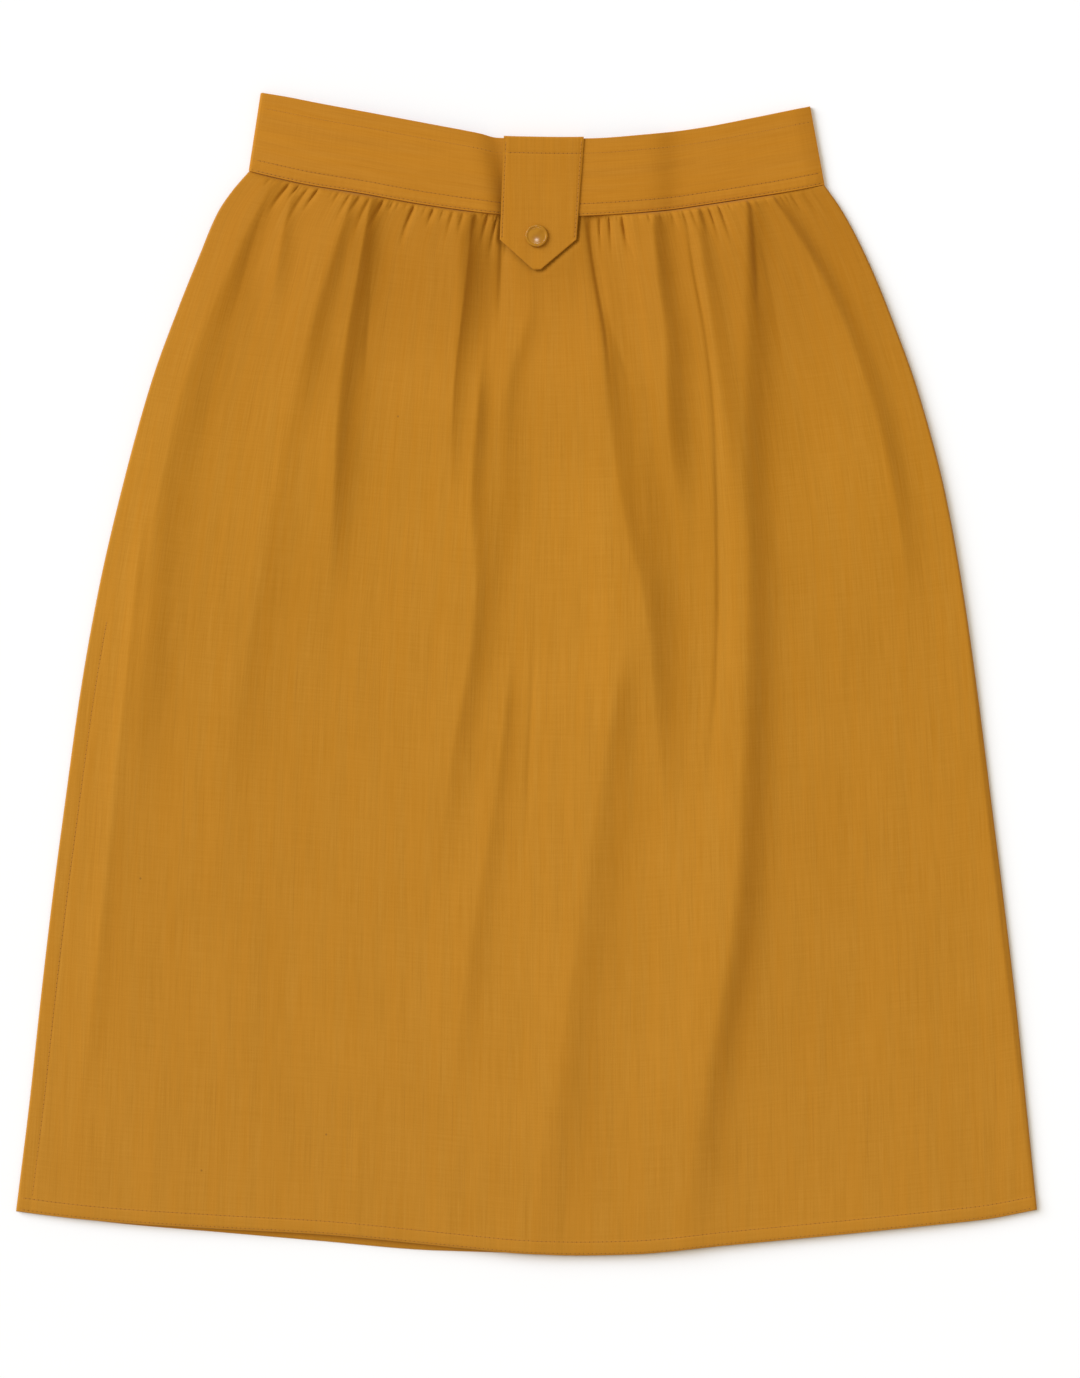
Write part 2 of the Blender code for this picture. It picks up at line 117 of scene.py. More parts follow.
deselect_all()
FLOOR_SIZE = 14
bpy.ops.mesh.primitive_plane_add(size=FLOOR_SIZE, location=(0, 0, 0))
floor = bpy.context.object
floor.name = "floor"
print("Floor, metres:", FLOOR_SIZE)

# %% [markdown]
# ## Sizes that the pieces share
#
# The outline is kept in two short tables, as a pattern cutter would note it: how wide the skirt is at each
# share of its length, and where each crosswise edge runs. All sizes are in millimetres, with X to the right
# and Y towards the waist. A smooth curve through each table gives every point between.

# %% The outline
Side = namedtuple("Side", "share left right")
Level = namedtuple("Level", "share band_top seam front_hem back_hem")

PANEL_LENGTH = 643.0
SEAM_GAP = 0.3  # between the back and the front, and between the tab and the band's edge
CLOTH_GAP = 0.08  # between the band's lower edge and the panels
BAND_WALL = 2.0
BAND_SLACK = 0.5  # between the band's two legs
BAND_MIDDLE = 1.5 * BAND_WALL + BAND_SLACK  # the middle of the front leg, where it doesn't bow

SIDES = (
    Side(0.00, -172.5, 185.0),
    Side(0.02, -183.5, 194.0),
    Side(0.04, -192.0, 201.5),
    Side(0.08, -203.0, 214.0),
    Side(0.13, -216.0, 227.0),
    Side(0.20, -232.5, 243.0),
    Side(0.30, -250.5, 260.0),
    Side(0.40, -265.5, 271.5),
    Side(0.50, -277.0, 280.5),
    Side(0.60, -286.0, 288.5),
    Side(0.70, -294.5, 296.5),
    Side(0.80, -302.0, 304.0),
    Side(0.90, -309.0, 310.5),
    Side(1.00, -317.0, 317.0),
)
LEVELS = (
    Level(0.00, 361.0, 312.0, -333.5, -332.5),
    Level(0.05, 358.0, 307.5, -337.5, -337.0),
    Level(0.10, 354.5, 303.5, -340.5, -341.0),
    Level(0.20, 348.0, 297.5, -344.5, -346.5),
    Level(0.30, 341.5, 291.0, -348.0, -352.0),
    Level(0.40, 335.0, 286.0, -354.0, -357.5),
    Level(0.43, 332.7, 285.0, -356.0, -358.2),
    Level(0.50, 332.0, 283.0, -360.0, -359.5),
    Level(0.55, 331.8, 283.3, -361.0, -359.8),
    Level(0.60, 332.0, 284.0, -360.4, -359.0),
    Level(0.70, 334.5, 286.5, -354.5, -353.0),
    Level(0.80, 339.0, 291.5, -348.5, -347.0),
    Level(0.90, 345.5, 297.0, -342.0, -341.0),
    Level(0.95, 349.0, 300.0, -338.5, -337.5),
    Level(1.00, 352.5, 303.5, -332.5, -331.5),
)
SEAM_LEFT = SIDES[0].left
SEAM_WIDTH = SIDES[0].right - SIDES[0].left
HEM_WIDTH = SIDES[-1].right - SIDES[-1].left

TAB_TOP_LEFT = -14.0
TAB_TOP_RIGHT = 35.5
TAB_FOOT_LEFT = -16.5
TAB_FOOT_RIGHT = 31.0
TAB_FOOT_Y = 269.0
TAB_TIP_LEFT = 4.1
TAB_TIP_RIGHT = 8.9
TAB_TIP_Y = 250.5
ABOVE_THE_BAND = 340.0  # a y past the band's edge, so that only the sides and the point count as edges
TAB_OUTLINE = (
    (TAB_TOP_LEFT, ABOVE_THE_BAND),
    (TAB_FOOT_LEFT, TAB_FOOT_Y),
    (TAB_TIP_LEFT, TAB_TIP_Y),
    (TAB_TIP_RIGHT, TAB_TIP_Y),
    (TAB_FOOT_RIGHT, TAB_FOOT_Y),
    (TAB_TOP_RIGHT, ABOVE_THE_BAND),
)


def smooth(at, knots, values):
    """A smooth curve through a short table, which stays between each pair of its values."""
    knots = np.asarray(knots, float)
    values = np.asarray(values, float)
    steps = np.diff(knots)
    slopes = np.diff(values) / steps
    product = slopes[:-1] * slopes[1:]
    tangents = np.zeros_like(values)
    tangents[0] = slopes[0]
    tangents[-1] = slopes[-1]
    np.divide(2 * product, slopes[:-1] + slopes[1:], out=tangents[1:-1], where=product > 0)
    at = np.clip(at, knots[0], knots[-1])
    i = np.clip(np.searchsorted(knots, at, side="right") - 1, 0, len(steps) - 1)
    t = (at - knots[i]) / steps[i]
    start = values[i] * (1 + 2 * t) * (1 - t) ** 2 + tangents[i] * steps[i] * t * (1 - t) ** 2
    return start + values[i + 1] * t * t * (3 - 2 * t) + tangents[i + 1] * steps[i] * t * t * (t - 1)


def between(start, end, share):
    """From start at a share of 0 to end at a share of 1."""
    return start + (end - start) * share


def column(table, name):
    return [getattr(row, name) for row in table]


def side_x(down, name):
    return smooth(down, column(SIDES, "share"), column(SIDES, name))


def level_y(across, name):
    return smooth(across, column(LEVELS, "share"), column(LEVELS, name))


def panel_xy(across, down, hem):
    """The flat place of a panel's point, across it from 0 to 1 and down it from 0 to 1."""
    x = between(side_x(down, "left"), side_x(down, "right"), across)
    y = between(level_y(across, "seam") - CLOTH_GAP, level_y(across, hem), down)
    return x, y


def inside_tab(x, y):
    """How far a place is inside the tab's nearest side, or less than 0 outside it."""
    nearest = np.full(np.broadcast(x, y).shape, np.inf)
    for (x0, y0), (x1, y1) in zip(TAB_OUTLINE, TAB_OUTLINE[1:]):
        away = ((x1 - x0) * (y - y0) - (y1 - y0) * (x - x0)) / math.hypot(x1 - x0, y1 - y0)
        nearest = np.minimum(nearest, away)
    return nearest


print("Waist and hem, mm:", SEAM_WIDTH, HEM_WIDTH)

# %% [markdown]
# ## Gathers and folds
#
# A gathered skirt has two kinds of relief. At the waist seam the cloth is drawn up into many short, sharp
# puckers. Below them a few longer folds run on, each with its own path. Both are listed one by one and worked
# out as heights, because a fold that lies this flat is a slope and not a drape. Most folds here are ridges
# that rise slowly on their left and drop quickly on their right, as cloth does when it is pushed one way.
# A few are thin creases. A fold's power sets its right side: 2 gives a round one and 1 a sharp one.

# %% Small gathers
GATHERS = (
    -158, -146, -140, -134, -128, -115, -108, -102, -96, -88, -82, -69, -57, -51,
    -45, -39, -31, -24, -18, -10, 0, 9, 19, 29, 39, 45, 51, 59, 75, 82, 89, 96,
    101, 107, 112, 118, 124, 136, 153, 163, 171, 177,
)
GATHER_DEPTH = 2.0
GATHER_AT_SEAM = 0.45  # the share of its depth that a gather has at the seam
GATHER_DEEPENS_OVER = 3.5
GATHER_LEFT = 0.7  # the widths of its two sides
GATHER_RIGHT = 1.5
GATHER_SPREAD = 30.0  # how far down it is twice as wide
GATHER_POWER = 1.5
GATHER_LEAN = 0.1
SHORTEST_GATHER = 7.0
LONGEST_GATHER = 34.0
PUCKER_DEPTH = 1.1
PUCKER_LEFT = 0.6
PUCKER_RIGHT = 1.0
PUCKER_SHARES = (0.3, 0.66)  # of the way from one gather to the next
PUCKER_STRAY = 0.2
SHORTEST_PUCKER = 2.5
LONGEST_PUCKER = 10.0
LEFT_POWER = 1.3  # how the left side of every gather and fold falls


def eased(t):
    """0 below 0, 1 above 1, and an S between."""
    t = np.clip(t, 0, 1)
    return t * t * (3 - 2 * t)


def ramp(value, start, end):
    """0 at start, 1 at end, and an S between."""
    return eased((value - start) / (end - start))


def uneven(i):
    """A number from 0 to 1 for the i-th of a row of like things, in no clear order."""
    return (i * 0.618 + 0.23 * math.sin(3.1 * i)) % 1


def drop(away, left, right, power):
    """1 in the middle, down to 0 on both sides, with a width for each."""
    away = np.asarray(away)
    left_side = np.exp(-((np.abs(away) / left) ** LEFT_POWER))
    right_side = np.exp(-((np.abs(away) / right) ** power))
    return np.where(away < 0, left_side, right_side)


def tucked(below, reach, share):
    """This share at the waist seam, and 1 from a reach below it."""
    return between(share, 1, eased(below / reach))


def gather_relief(across, below, gathers=GATHERS):
    """How deep the gathers and the puckers between them are, at a distance below the waist seam."""
    at = SEAM_LEFT + across * SEAM_WIDTH
    depth = np.zeros(np.broadcast(across, below).shape)
    for i, x in enumerate(gathers):
        reach = between(SHORTEST_GATHER, LONGEST_GATHER, uneven(i))
        deep = GATHER_DEPTH * between(0.5, 1, uneven(i + 7)) * eased(1 - below / reach)
        wide = (1 + below / GATHER_SPREAD) * between(0.7, 1.3, uneven(i + 11))
        away = at - x - GATHER_LEAN * (uneven(i + 3) - 0.5) * below
        depth = np.maximum(depth, deep * drop(away, GATHER_LEFT * wide, GATHER_RIGHT * wide, GATHER_POWER))
    for i, (left, right) in enumerate(zip(gathers, gathers[1:])):
        for share in PUCKER_SHARES:
            x = between(left, right, share + PUCKER_STRAY * (uneven(i + 40 * share) - 0.5))
            reach = between(SHORTEST_PUCKER, LONGEST_PUCKER, uneven(i + 20 * share))
            deep = PUCKER_DEPTH * between(0.5, 1, uneven(i + 9)) * eased(1 - below / reach)
            depth = np.maximum(depth, deep * drop(at - x, PUCKER_LEFT, PUCKER_RIGHT, GATHER_POWER))
    return depth * tucked(below, GATHER_DEEPENS_OVER, GATHER_AT_SEAM)


print("Gathers:", len(GATHERS), "and puckers:", len(PUCKER_SHARES) * (len(GATHERS) - 1))

# %% [markdown]
# ## How the band and the tab hold the gathers
#
# The band is stiffer than the skirt, so its front leg doesn't follow each gather. It bows up over them, most
# in the middle, and falls back to the right of the tab, and the gathers next to it are lifted with it. The
# tab does the reverse: it presses the folds under it flatter, and its edge sinks a little into them.

# %% Bow of the band and press of the tab
BAND_BOW = 4.2
BAND_FALLS_AT = 86.0
BAND_FALLS_OVER = 8.3
BAND_FALL = 0.97  # the share of the bow that is gone on the right
BOW_SHARE = 0.5  # how much of the bow lifts the gathers
BOW_FADES_OVER = 80.0
PRESSED_LEFT = (-44, -20)  # where the tab's press begins and is full, from each side and from below
PRESSED_RIGHT = (100, 28)
PRESSED_BELOW = (176, 252)
FOLDS_PRESSED = 0.7
LIFT_PRESSED = 0.45
TAB_PRESS = 1.1  # how deep the tab's edge sinks in
TAB_PRESS_REACH = 2.8


def seam_bow(across, x):
    """How far the band's front leg stands up at the seam."""
    bow = BAND_BOW * (1 - np.abs(2 * across - 1) ** 3)
    return bow * (1 - BAND_FALL * (1 + np.tanh((x - BAND_FALLS_AT) / BAND_FALLS_OVER)) / 2)


def under_tab(x, y):
    """1 under the tab, and 0 a little way off."""
    return ramp(x, *PRESSED_LEFT) * ramp(x, *PRESSED_RIGHT) * ramp(y, *PRESSED_BELOW)


print("Bow at the tab and near the right side, mm:", [round(float(seam_bow(0.5, x)), 2) for x in (10, 120)])

# %% Long folds of the front
# rise is the height of a ridge, or less than 0 for a crease. left and right are the widths of its two sides,
# top and foot the y of its ends, and across its x at equal steps between them.
Fold = namedtuple("Fold", "name rise left right power top foot across")

FOLDS = (
    Fold("broad middle", 2.4, 150, 70, 1.7, 290, -440, (40, 44, 80, 125, 118, 104, 92)),
    Fold("left side rise", 3.7, 24, 15, 1.8, 345, -150, (-136, -179, -212, -230, -237, -245, -249)),
    Fold("left dent", -1.3, 5, 30, 1.6, 335, 205, (-138, -161, -174.5, -186)),
    Fold("short left fold", 2.3, 12, 8, 1.6, 335, 215, (-134, -146, -154, -158)),
    Fold("left hollow", 2.8, 36, 10, 1.6, 336, 135, (-96, -108.5, -120.5, -133, -140, -148)),
    Fold("left crest", 1.9, 36, 12, 1.6, 306, -140, (-107, -127, -144, -157, -167, -178, -188, -196)),
    Fold("left crease", 6.2, 40, 9.2, 1.5, 336, 30, (-90, -97, -104.5, -112, -117, -119.5, -121, -121)),
    Fold("line in the left crease", -0.6, 1.4, 4, 1.3, 262, 170, (-95, -97, -99, -101)),
    Fold("crease left of the tab", 3.9, 44, 6, 1.0, 328, 94, (-32, -34, -38.5, -44, -46.5, -47)),
    Fold("nick below the tab", -1.9, 2.0, 8, 1.4, 330, 208, (-14, -15, -16, -17.5)),
    Fold("fold under the tab", 2.6, 34, 11, 1.8, 264, 26, (1, 0, -12, -17, -18, -22, -26)),
    Fold("middle fold", 4.0, 55, 10, 1.5, 208, -140, (-27, -31, -34.5, -31.5, -36, -45, -52, -57)),
    Fold("thin middle crease", -0.5, 1.3, 5, 1.4, 45, -125, (6, 2, -2)),
    Fold("low middle hollow", 1.7, 26, 9, 1.8, 26, -290, (-9, -17, -30, -41, -50)),
    Fold("crease right of the tab", 5.8, 60, 13, 1.5, 324, -130, (33.5, 37, 45.5, 51, 60, 73, 79, 84, 88)),
    Fold("shoulder of that crease", 2.2, 30, 26, 2.0, 135, -60, (48, 50, 51, 54)),
    Fold("hollow beside the tab", -2.4, 7, 55, 1.6, 330, 140, (38, 40, 48.5, 56, 60)),
    Fold("line in that crease", -1.5, 1.4, 4, 1.2, 330, 168, (34.5, 36.8, 42.4, 49.2, 53.2)),
    Fold("branch of that crease", -0.9, 1.4, 5, 1.4, 230, 176, (46.5, 53, 59, 65)),
    Fold("nick in the gathers", -1.8, 1.2, 3, 1.3, 308, 252, (50, 59, 68)),
    Fold("short fold in the gathers", 1.5, 9, 5, 1.5, 325, 250, (56, 61, 67, 71)),
    Fold("right hollow", 8.0, 78, 11.5, 1.6, 330, 75, (79.5, 77.5, 80.5, 85.5, 86.5, 91, 101)),
    Fold("right crease", -1.1, 1.3, 7, 1.4, 306, -110, (95.5, 103, 112, 116.5, 118, 118.5, 117, 112, 109)),
    Fold("lower hollow", 1.8, 28, 18, 1.8, 156, -90, (66, 74, 77, 78, 80)),
    Fold("right crest", 3.6, 22, 9, 1.7, 330, 80, (102, 105.5, 112, 118.5, 124, 126)),
    Fold("long right crease", 6.4, 56, 13.5, 1.9, 330, -440, (136, 135, 133, 135, 132.5, 127, 111, 97, 90)),
    Fold("head of the long crease", -1.8, 1.5, 5, 1.3, 330, 212, (134, 139, 142, 144)),
    Fold("branch of the long crease", -0.35, 1.6, 6, 1.4, 300, 178, (138, 147, 155, 161)),
    Fold("far right curve", 4.2, 34, 9, 1.7, 340, 18, (118, 158, 189, 210, 224, 234, 243)),
    Fold("lowest hollow", 4.0, 60, 20, 1.8, 25, -420, (60, 48, 37, 25, 15, 5, -4)),
    Fold("left seam ridge", 1.2, 7, 7, 1.6, 110, -310, (-236, -245.5, -254, -262.5, -272, -283)),
    Fold("right seam ridge", 1.7, 21, 2.6, 1.8, 292, -440, (200, 247, 270, 284, 298.5, 312.5, 326)),
)
FOLD_STARTS_OVER = 56.0
FOLD_OPENS_OVER = 150.0
FOLD_ENDS_OVER = 0.4  # of its length
FOLD_TOP_WIDTH = 0.4  # of its right side's full width


def fold_relief(x, y, folds, pressed=0.0):
    """The height that the long ridges add and the thin creases take away."""
    height = np.zeros(np.broadcast(x, y).shape)
    for fold in folds:
        steps = np.linspace(fold.top, fold.foot, len(fold.across))
        away = x - smooth(-y, -steps, fold.across)
        below = fold.top - y
        wide = between(FOLD_TOP_WIDTH, 1, eased(below / FOLD_OPENS_OVER))
        along = below / (fold.top - fold.foot)
        ends = eased(below / FOLD_STARTS_OVER) * eased((1 - along) / FOLD_ENDS_OVER)
        kept = 1 - FOLDS_PRESSED * pressed * (fold.rise > 0)
        height += fold.rise * kept * ends * drop(away, fold.left, fold.right * wide, fold.power)
    return height


print("Folds of the front:", len(FOLDS))

# %% [markdown]
# ## Cloth as a closed shell
#
# Cloth has two sides and an edge. Each sheet here is made as two grids of points, a fine one for the side
# that shows and a coarser one behind it, with the rim closed between them. The edges are rounded in the
# points themselves. The sheet keeps a UV map in metres of flat cloth, so the weave follows the cut and not
# the room.

# %% Two grids into a shell
def metres(x, y, z):
    """Points in metres, from their x, y and z in millimetres."""
    return np.stack(np.broadcast_arrays(x, y, z), axis=-1) * MM


def rim_runs(grid, across_step, down_step):
    """The corners round a grid, in runs that each span one cell of the coarser grid."""
    sides = (grid[0], grid[:, -1], grid[-1, ::-1], grid[::-1, 0])
    steps = (across_step, down_step, across_step, down_step)
    return [side[i : i + step + 1] for side, step in zip(sides, steps) for i in range(0, len(side) - 1, step)]


def cells(grid):
    """The four corners of each cell, in the order that makes it face up."""
    corners = (grid[:-1, :-1], grid[1:, :-1], grid[1:, 1:], grid[:-1, 1:])
    return np.stack(corners, axis=-1).reshape(-1, 4)


def shell(name, fine, coarse, weave, fine_on_top=True):
    """A closed sheet between a fine and a coarse grid of points, with its flat cloth as its UVs."""
    down_step = (fine.shape[0] - 1) // (coarse.shape[0] - 1)
    across_step = (fine.shape[1] - 1) // (coarse.shape[1] - 1)
    fine_grid = np.arange(fine.shape[0] * fine.shape[1]).reshape(fine.shape[:2])
    coarse_grid = fine_grid.size + np.arange(coarse.shape[0] * coarse.shape[1]).reshape(coarse.shape[:2])
    faces = cells(fine_grid).tolist() + cells(coarse_grid)[:, ::-1].tolist()
    for edge, behind in zip(rim_runs(fine_grid, across_step, down_step), rim_runs(coarse_grid, 1, 1)):
        faces.append([*edge.tolist(), *behind[::-1].tolist()])
    if not fine_on_top:
        faces = [face[::-1] for face in faces]
    data = bpy.data.meshes.new(name)
    data.from_pydata(np.concatenate([fine.reshape(-1, 3), coarse.reshape(-1, 3)]), [], faces)
    places = np.concatenate([weave.reshape(-1, 2), weave[::down_step, ::across_step].reshape(-1, 2)])
    corners = np.empty(len(data.loops), dtype=np.int32)
    data.loops.foreach_get("vertex_index", corners)
    data.uv_layers.new(name="cloth").data.foreach_set("uv", places[corners].astype(np.float32).ravel())
    made = bpy.data.objects.new(name, data)
    bpy.context.scene.collection.objects.link(made)
    smooth_faces(made)
    print(name, "has", len(data.polygons), "faces")
    return made


def smooth_faces(obj, angle=50):
    """Smooths the shading of all edges that turn by less than the angle."""
    deselect_all()
    obj.select_set(True)
    bpy.context.view_layer.objects.active = obj
    bpy.ops.object.shade_smooth_by_angle(angle=math.radians(angle))


def stations(*spans):
    """Distances along a sheet, from spans of (start, end, steps)."""
    parts = [np.linspace(start, end, steps, endpoint=False) for start, end, steps in spans]
    return np.append(np.concatenate(parts), spans[-1][1])


def rounded(from_edge, radius):
    """0 at an edge and 1 from a radius inwards, on a quarter of an ellipse."""
    return np.sqrt(1 - (1 - np.clip(from_edge / radius, 0, 1)) ** 2)


def lowest_near(heights, across_step, down_step):
    """The lowest height within a cell of each point of the coarser grid."""
    for axis, step in ((0, down_step), (1, across_step)):
        at = np.arange(heights.shape[axis])
        near = [np.clip(at + shift, 0, at[-1]) for shift in range(-step, step + 1)]
        heights = np.min([heights.take(places, axis) for places in near], axis=0)
    return heights[::down_step, ::across_step]


def run_of(points):
    """How far along a line of points each of them is."""
    return np.cumsum(np.linalg.norm(np.diff(points, axis=0, prepend=points[:1]), axis=1))


# %% [markdown]
# ## The front
#
# The front is cut wider than the waist, gathered into the band and left to run out to the hem. It lies on the
# back like a low cushion of air, so its height is a lift that rolls down to both side seams, less the
# gathers, plus the folds. At the waist it starts level with the band's edge, so that no gap opens under the
# gathers. The hem is turned up by 9 mm, which makes that strip a little thicker. Shallow grooves mark where
# the stitching pulls the cloth in.

# %% Heights of the front
BACK_WALL = 1.2
BACK_WALL_AT_SEAM = 2.0
SEAM_PLY_DEPTH = 60.0  # over how much the back is thicker at the seam
FRONT_WALL = 1.3
FRONT_RIM = 0.2  # how far the front's edge is above the back
CLOTH_WALL = 0.8
LIFT_AT_WAIST = 2.3
LIFT_AT_HEM = 2.0
LEFT_ROLL_AT_WAIST = 50.0
LEFT_ROLL_AT_HEM = 90.0
RIGHT_ROLL = 90.0
FOLD_ROLL = 1.3
FOLD_TUCK_DEPTH = 36.0  # over how much the folds, and then the lift, come out of the seam
FOLD_TUCK_SHARE = 0.75
TUCK_DEPTH = 14.0
TUCK_SHARE = 1.0
LEAST_RISE = 0.25  # how softly a fold's bottom meets the back
SIDE_ROUND = 1.2
HEM_ROUND = 1.2
SEAM_ROLL = 3.4  # over how much the gathers come up out of the waist seam
HEM_DEPTH = 9.0
HEM_PLY = 0.4
HEM_PLY_ENDS = 1.5  # how far past the hem's row, and over how much
HEM_PLY_OVER = 2.0
HEM_EDGE_ROW = 1.8
SIDE_ROW = 9.0
SIDE_ROW_STARTS = 0.43
GROOVE_DEPTH = 0.22
GROOVE_HALF = 0.8


def groove(away):
    return GROOVE_DEPTH * np.exp(-((away / GROOVE_HALF) ** 2))


def back_top(down):
    plies = 1 - eased(down * PANEL_LENGTH / SEAM_PLY_DEPTH)
    return between(BACK_WALL, BACK_WALL_AT_SEAM, plies)


def waves(x, y):
    """The slight unevenness that pressed cloth keeps, well under half a millimetre."""
    return (
        0.10 * np.sin(x / 17 + 0.4 * np.sin(y / 61))
        + 0.08 * np.sin(x / 29 - y / 83 + 1.7)
        + 0.07 * np.sin(x / 11 + y / 140 + 0.9 * np.sin(y / 47))
    )


def rolled(from_edge, reach):
    """0 at an edge and 1 from its reach inwards, steepest at the edge."""
    return 1 - (1 - np.clip(from_edge / reach, 0, 1)) ** 2


def front_height(across, down):
    """The height of the front's outer side."""
    x, y = panel_xy(across, down, "front_hem")
    below = down * PANEL_LENGTH
    above_hem = PANEL_LENGTH - below
    from_left = x - side_x(down, "left")
    from_right = side_x(down, "right") - x
    from_side = np.minimum(from_left, from_right)
    lift = between(LIFT_AT_WAIST, LIFT_AT_HEM, down)
    lift = lift + BOW_SHARE * seam_bow(across, x) * (1 - eased(below / BOW_FADES_OVER))
    left_roll = between(LEFT_ROLL_AT_WAIST, LEFT_ROLL_AT_HEM, down)
    lift = lift * rolled(from_left, left_roll) * rolled(from_right, RIGHT_ROLL)
    pressed = under_tab(x, y)
    lift = lift * (1 - LIFT_PRESSED * pressed) * tucked(below, TUCK_DEPTH, TUCK_SHARE)
    folds = fold_relief(x, y, FOLDS, pressed) * tucked(below, FOLD_TUCK_DEPTH, FOLD_TUCK_SHARE)
    dent = TAB_PRESS * eased(1 + inside_tab(x, y) / TAB_PRESS_REACH)
    rise = lift + folds + waves(x, y) - gather_relief(across, below) - dent
    rise = rolled(from_side, FOLD_ROLL) * (rise + np.sqrt(rise**2 + LEAST_RISE**2)) / 2
    hem_ply = HEM_PLY * eased((HEM_DEPTH + HEM_PLY_ENDS - above_hem) / HEM_PLY_OVER)
    grooves = groove(above_hem - HEM_DEPTH) + groove(above_hem - HEM_EDGE_ROW)
    grooves = grooves + groove(from_left - SIDE_ROW) * (down > SIDE_ROW_STARTS)
    full = back_top(down) + SEAM_GAP + rise + FRONT_WALL + hem_ply - grooves
    edge = rounded(from_side, SIDE_ROUND) * rounded(above_hem, HEM_ROUND)
    height = between(back_top(down) + FRONT_RIM, full, edge)
    at_seam = np.minimum(height, BAND_MIDDLE + seam_bow(across, x))
    return between(at_seam, height, rolled(below, SEAM_ROLL))


def cut_cloth(across, down, seam_cut):
    """Metres of flat cloth at a panel's point, from the middle of the waist."""
    cut = between(seam_cut, HEM_WIDTH, down)
    return np.stack(np.broadcast_arrays((across - 0.5) * cut, down * PANEL_LENGTH), axis=-1) * MM


print("Height at the middle, mm:", round(float(front_height(np.array(0.5), np.array(0.5))), 2))

# %% Build the front
GATHERED_FROM = 545.0  # how wide the cloth is cut at the waist
EDGE_STATIONS = stations((0, 0.9, 3), (0.9, 3.0, 4), (3.0, 4.2, 1))
COARSER = 4  # how many fine cells the inner side has to one of its own
LEAST_GAP = 0.1


def across_stations(middle_steps):
    """Shares across a panel, close together at its side seams."""
    edge = EDGE_STATIONS / SEAM_WIDTH
    return np.concatenate([edge, np.linspace(edge[-1], 1 - edge[-1], middle_steps + 1)[1:-1], 1 - edge[::-1]])


front_across = across_stations(556)[None, :]
front_below = stations((0, 2, 4), (2, 16, 12), (16, 60, 20), (60, 630, 100), (630, PANEL_LENGTH, 20))
front_down = front_below[:, None] / PANEL_LENGTH
x, y = panel_xy(front_across, front_down, "front_hem")
z = front_height(front_across, front_down)
lowest = lowest_near(z, COARSER, COARSER)
inner_z = np.maximum(lowest - CLOTH_WALL, back_top(front_down[::COARSER]) + LEAST_GAP)
front = shell(
    "front_cloth",
    metres(x, y, z),
    metres(x[::COARSER, ::COARSER], y[::COARSER, ::COARSER], inner_z),
    cut_cloth(front_across, front_down, GATHERED_FROM),
)

# %% [markdown]
# ## The back
#
# The back lies face down on the surface, so its lower side is flat there. It is gathered and creased like
# the front, but what a table presses flat stays as shallow furrows that rise into the cloth. Its hem shows
# for a few millimetres below the front's on the left.

# %% Build the back
BACK_FOLDS = (
    Fold("back left furrow", 0.7, 9, 6, 1.6, 306, -60, (-122, -150, -166, -175, -180)),
    Fold("back left short furrow", 0.6, 6, 7, 1.5, 304, 150, (-84, -97, -106)),
    Fold("back middle furrow", 0.7, 7, 9, 1.7, 300, -10, (-38, -52, -60, -58, -51)),
    Fold("back middle thin furrow", 0.5, 4, 5, 1.4, 296, 120, (12, 8, -2)),
    Fold("back low furrow", 0.6, 12, 10, 2.0, 60, -330, (-66, -78, -84, -96)),
    Fold("back right furrow", 0.7, 8, 6, 1.5, 302, -120, (62, 78, 90, 96, 92)),
    Fold("back right short furrow", 0.6, 5, 7, 1.5, 304, 190, (104, 117, 126)),
    Fold("back far right furrow", 0.7, 10, 9, 1.8, 308, -200, (146, 176, 194, 206, 214)),
    Fold("back low right furrow", 0.6, 13, 11, 2.0, 90, -300, (142, 152, 150, 158)),
)
BACK_GATHER_SHARE = 0.55  # of the front's gather depth
BACK_HEM_ROUND = 1.0
DEEPEST_FURROW = 0.75
EDGE_LIFT = 0.5
EDGE_WALL = 0.06
BACK_CUT_AWAY = (1.0, 0.0)  # metres, so that the back isn't cut from the same streaks as the front
BACK_GATHERS = tuple(x + 5 * math.sin(2.3 * i) for i, x in enumerate(GATHERS))

back_across = across_stations(240)[None, :]
back_below = stations((0, 3.2, 4), (3.2, 16, 8), (16, 60, 16), (60, 630, 60), (630, PANEL_LENGTH, 20))
back_down = back_below[:, None] / PANEL_LENGTH
x, y = panel_xy(back_across, back_down, "back_hem")
from_side = np.minimum(x - side_x(back_down, "left"), side_x(back_down, "right") - x)
above_hem = PANEL_LENGTH * (1 - back_down)
edge = rounded(from_side, SIDE_ROUND) * rounded(above_hem, BACK_HEM_ROUND)
furrows = BACK_GATHER_SHARE * gather_relief(back_across, back_below[:, None], BACK_GATHERS)
furrows = furrows + fold_relief(x, y, BACK_FOLDS)
furrows = furrows + groove(above_hem - HEM_DEPTH) + groove(above_hem - HEM_EDGE_ROW)
under_z = between(EDGE_LIFT, np.minimum(furrows, DEEPEST_FURROW), edge)
upper_z = between(EDGE_LIFT, back_top(back_down), edge) + EDGE_WALL
back = shell(
    "back_cloth",
    metres(x, y, under_z),
    metres(x[::2, ::2], y[::2, ::2], upper_z[::2, ::2]),
    cut_cloth(back_across, back_down, GATHERED_FROM) + BACK_CUT_AWAY,
    fine_on_top=False,
)

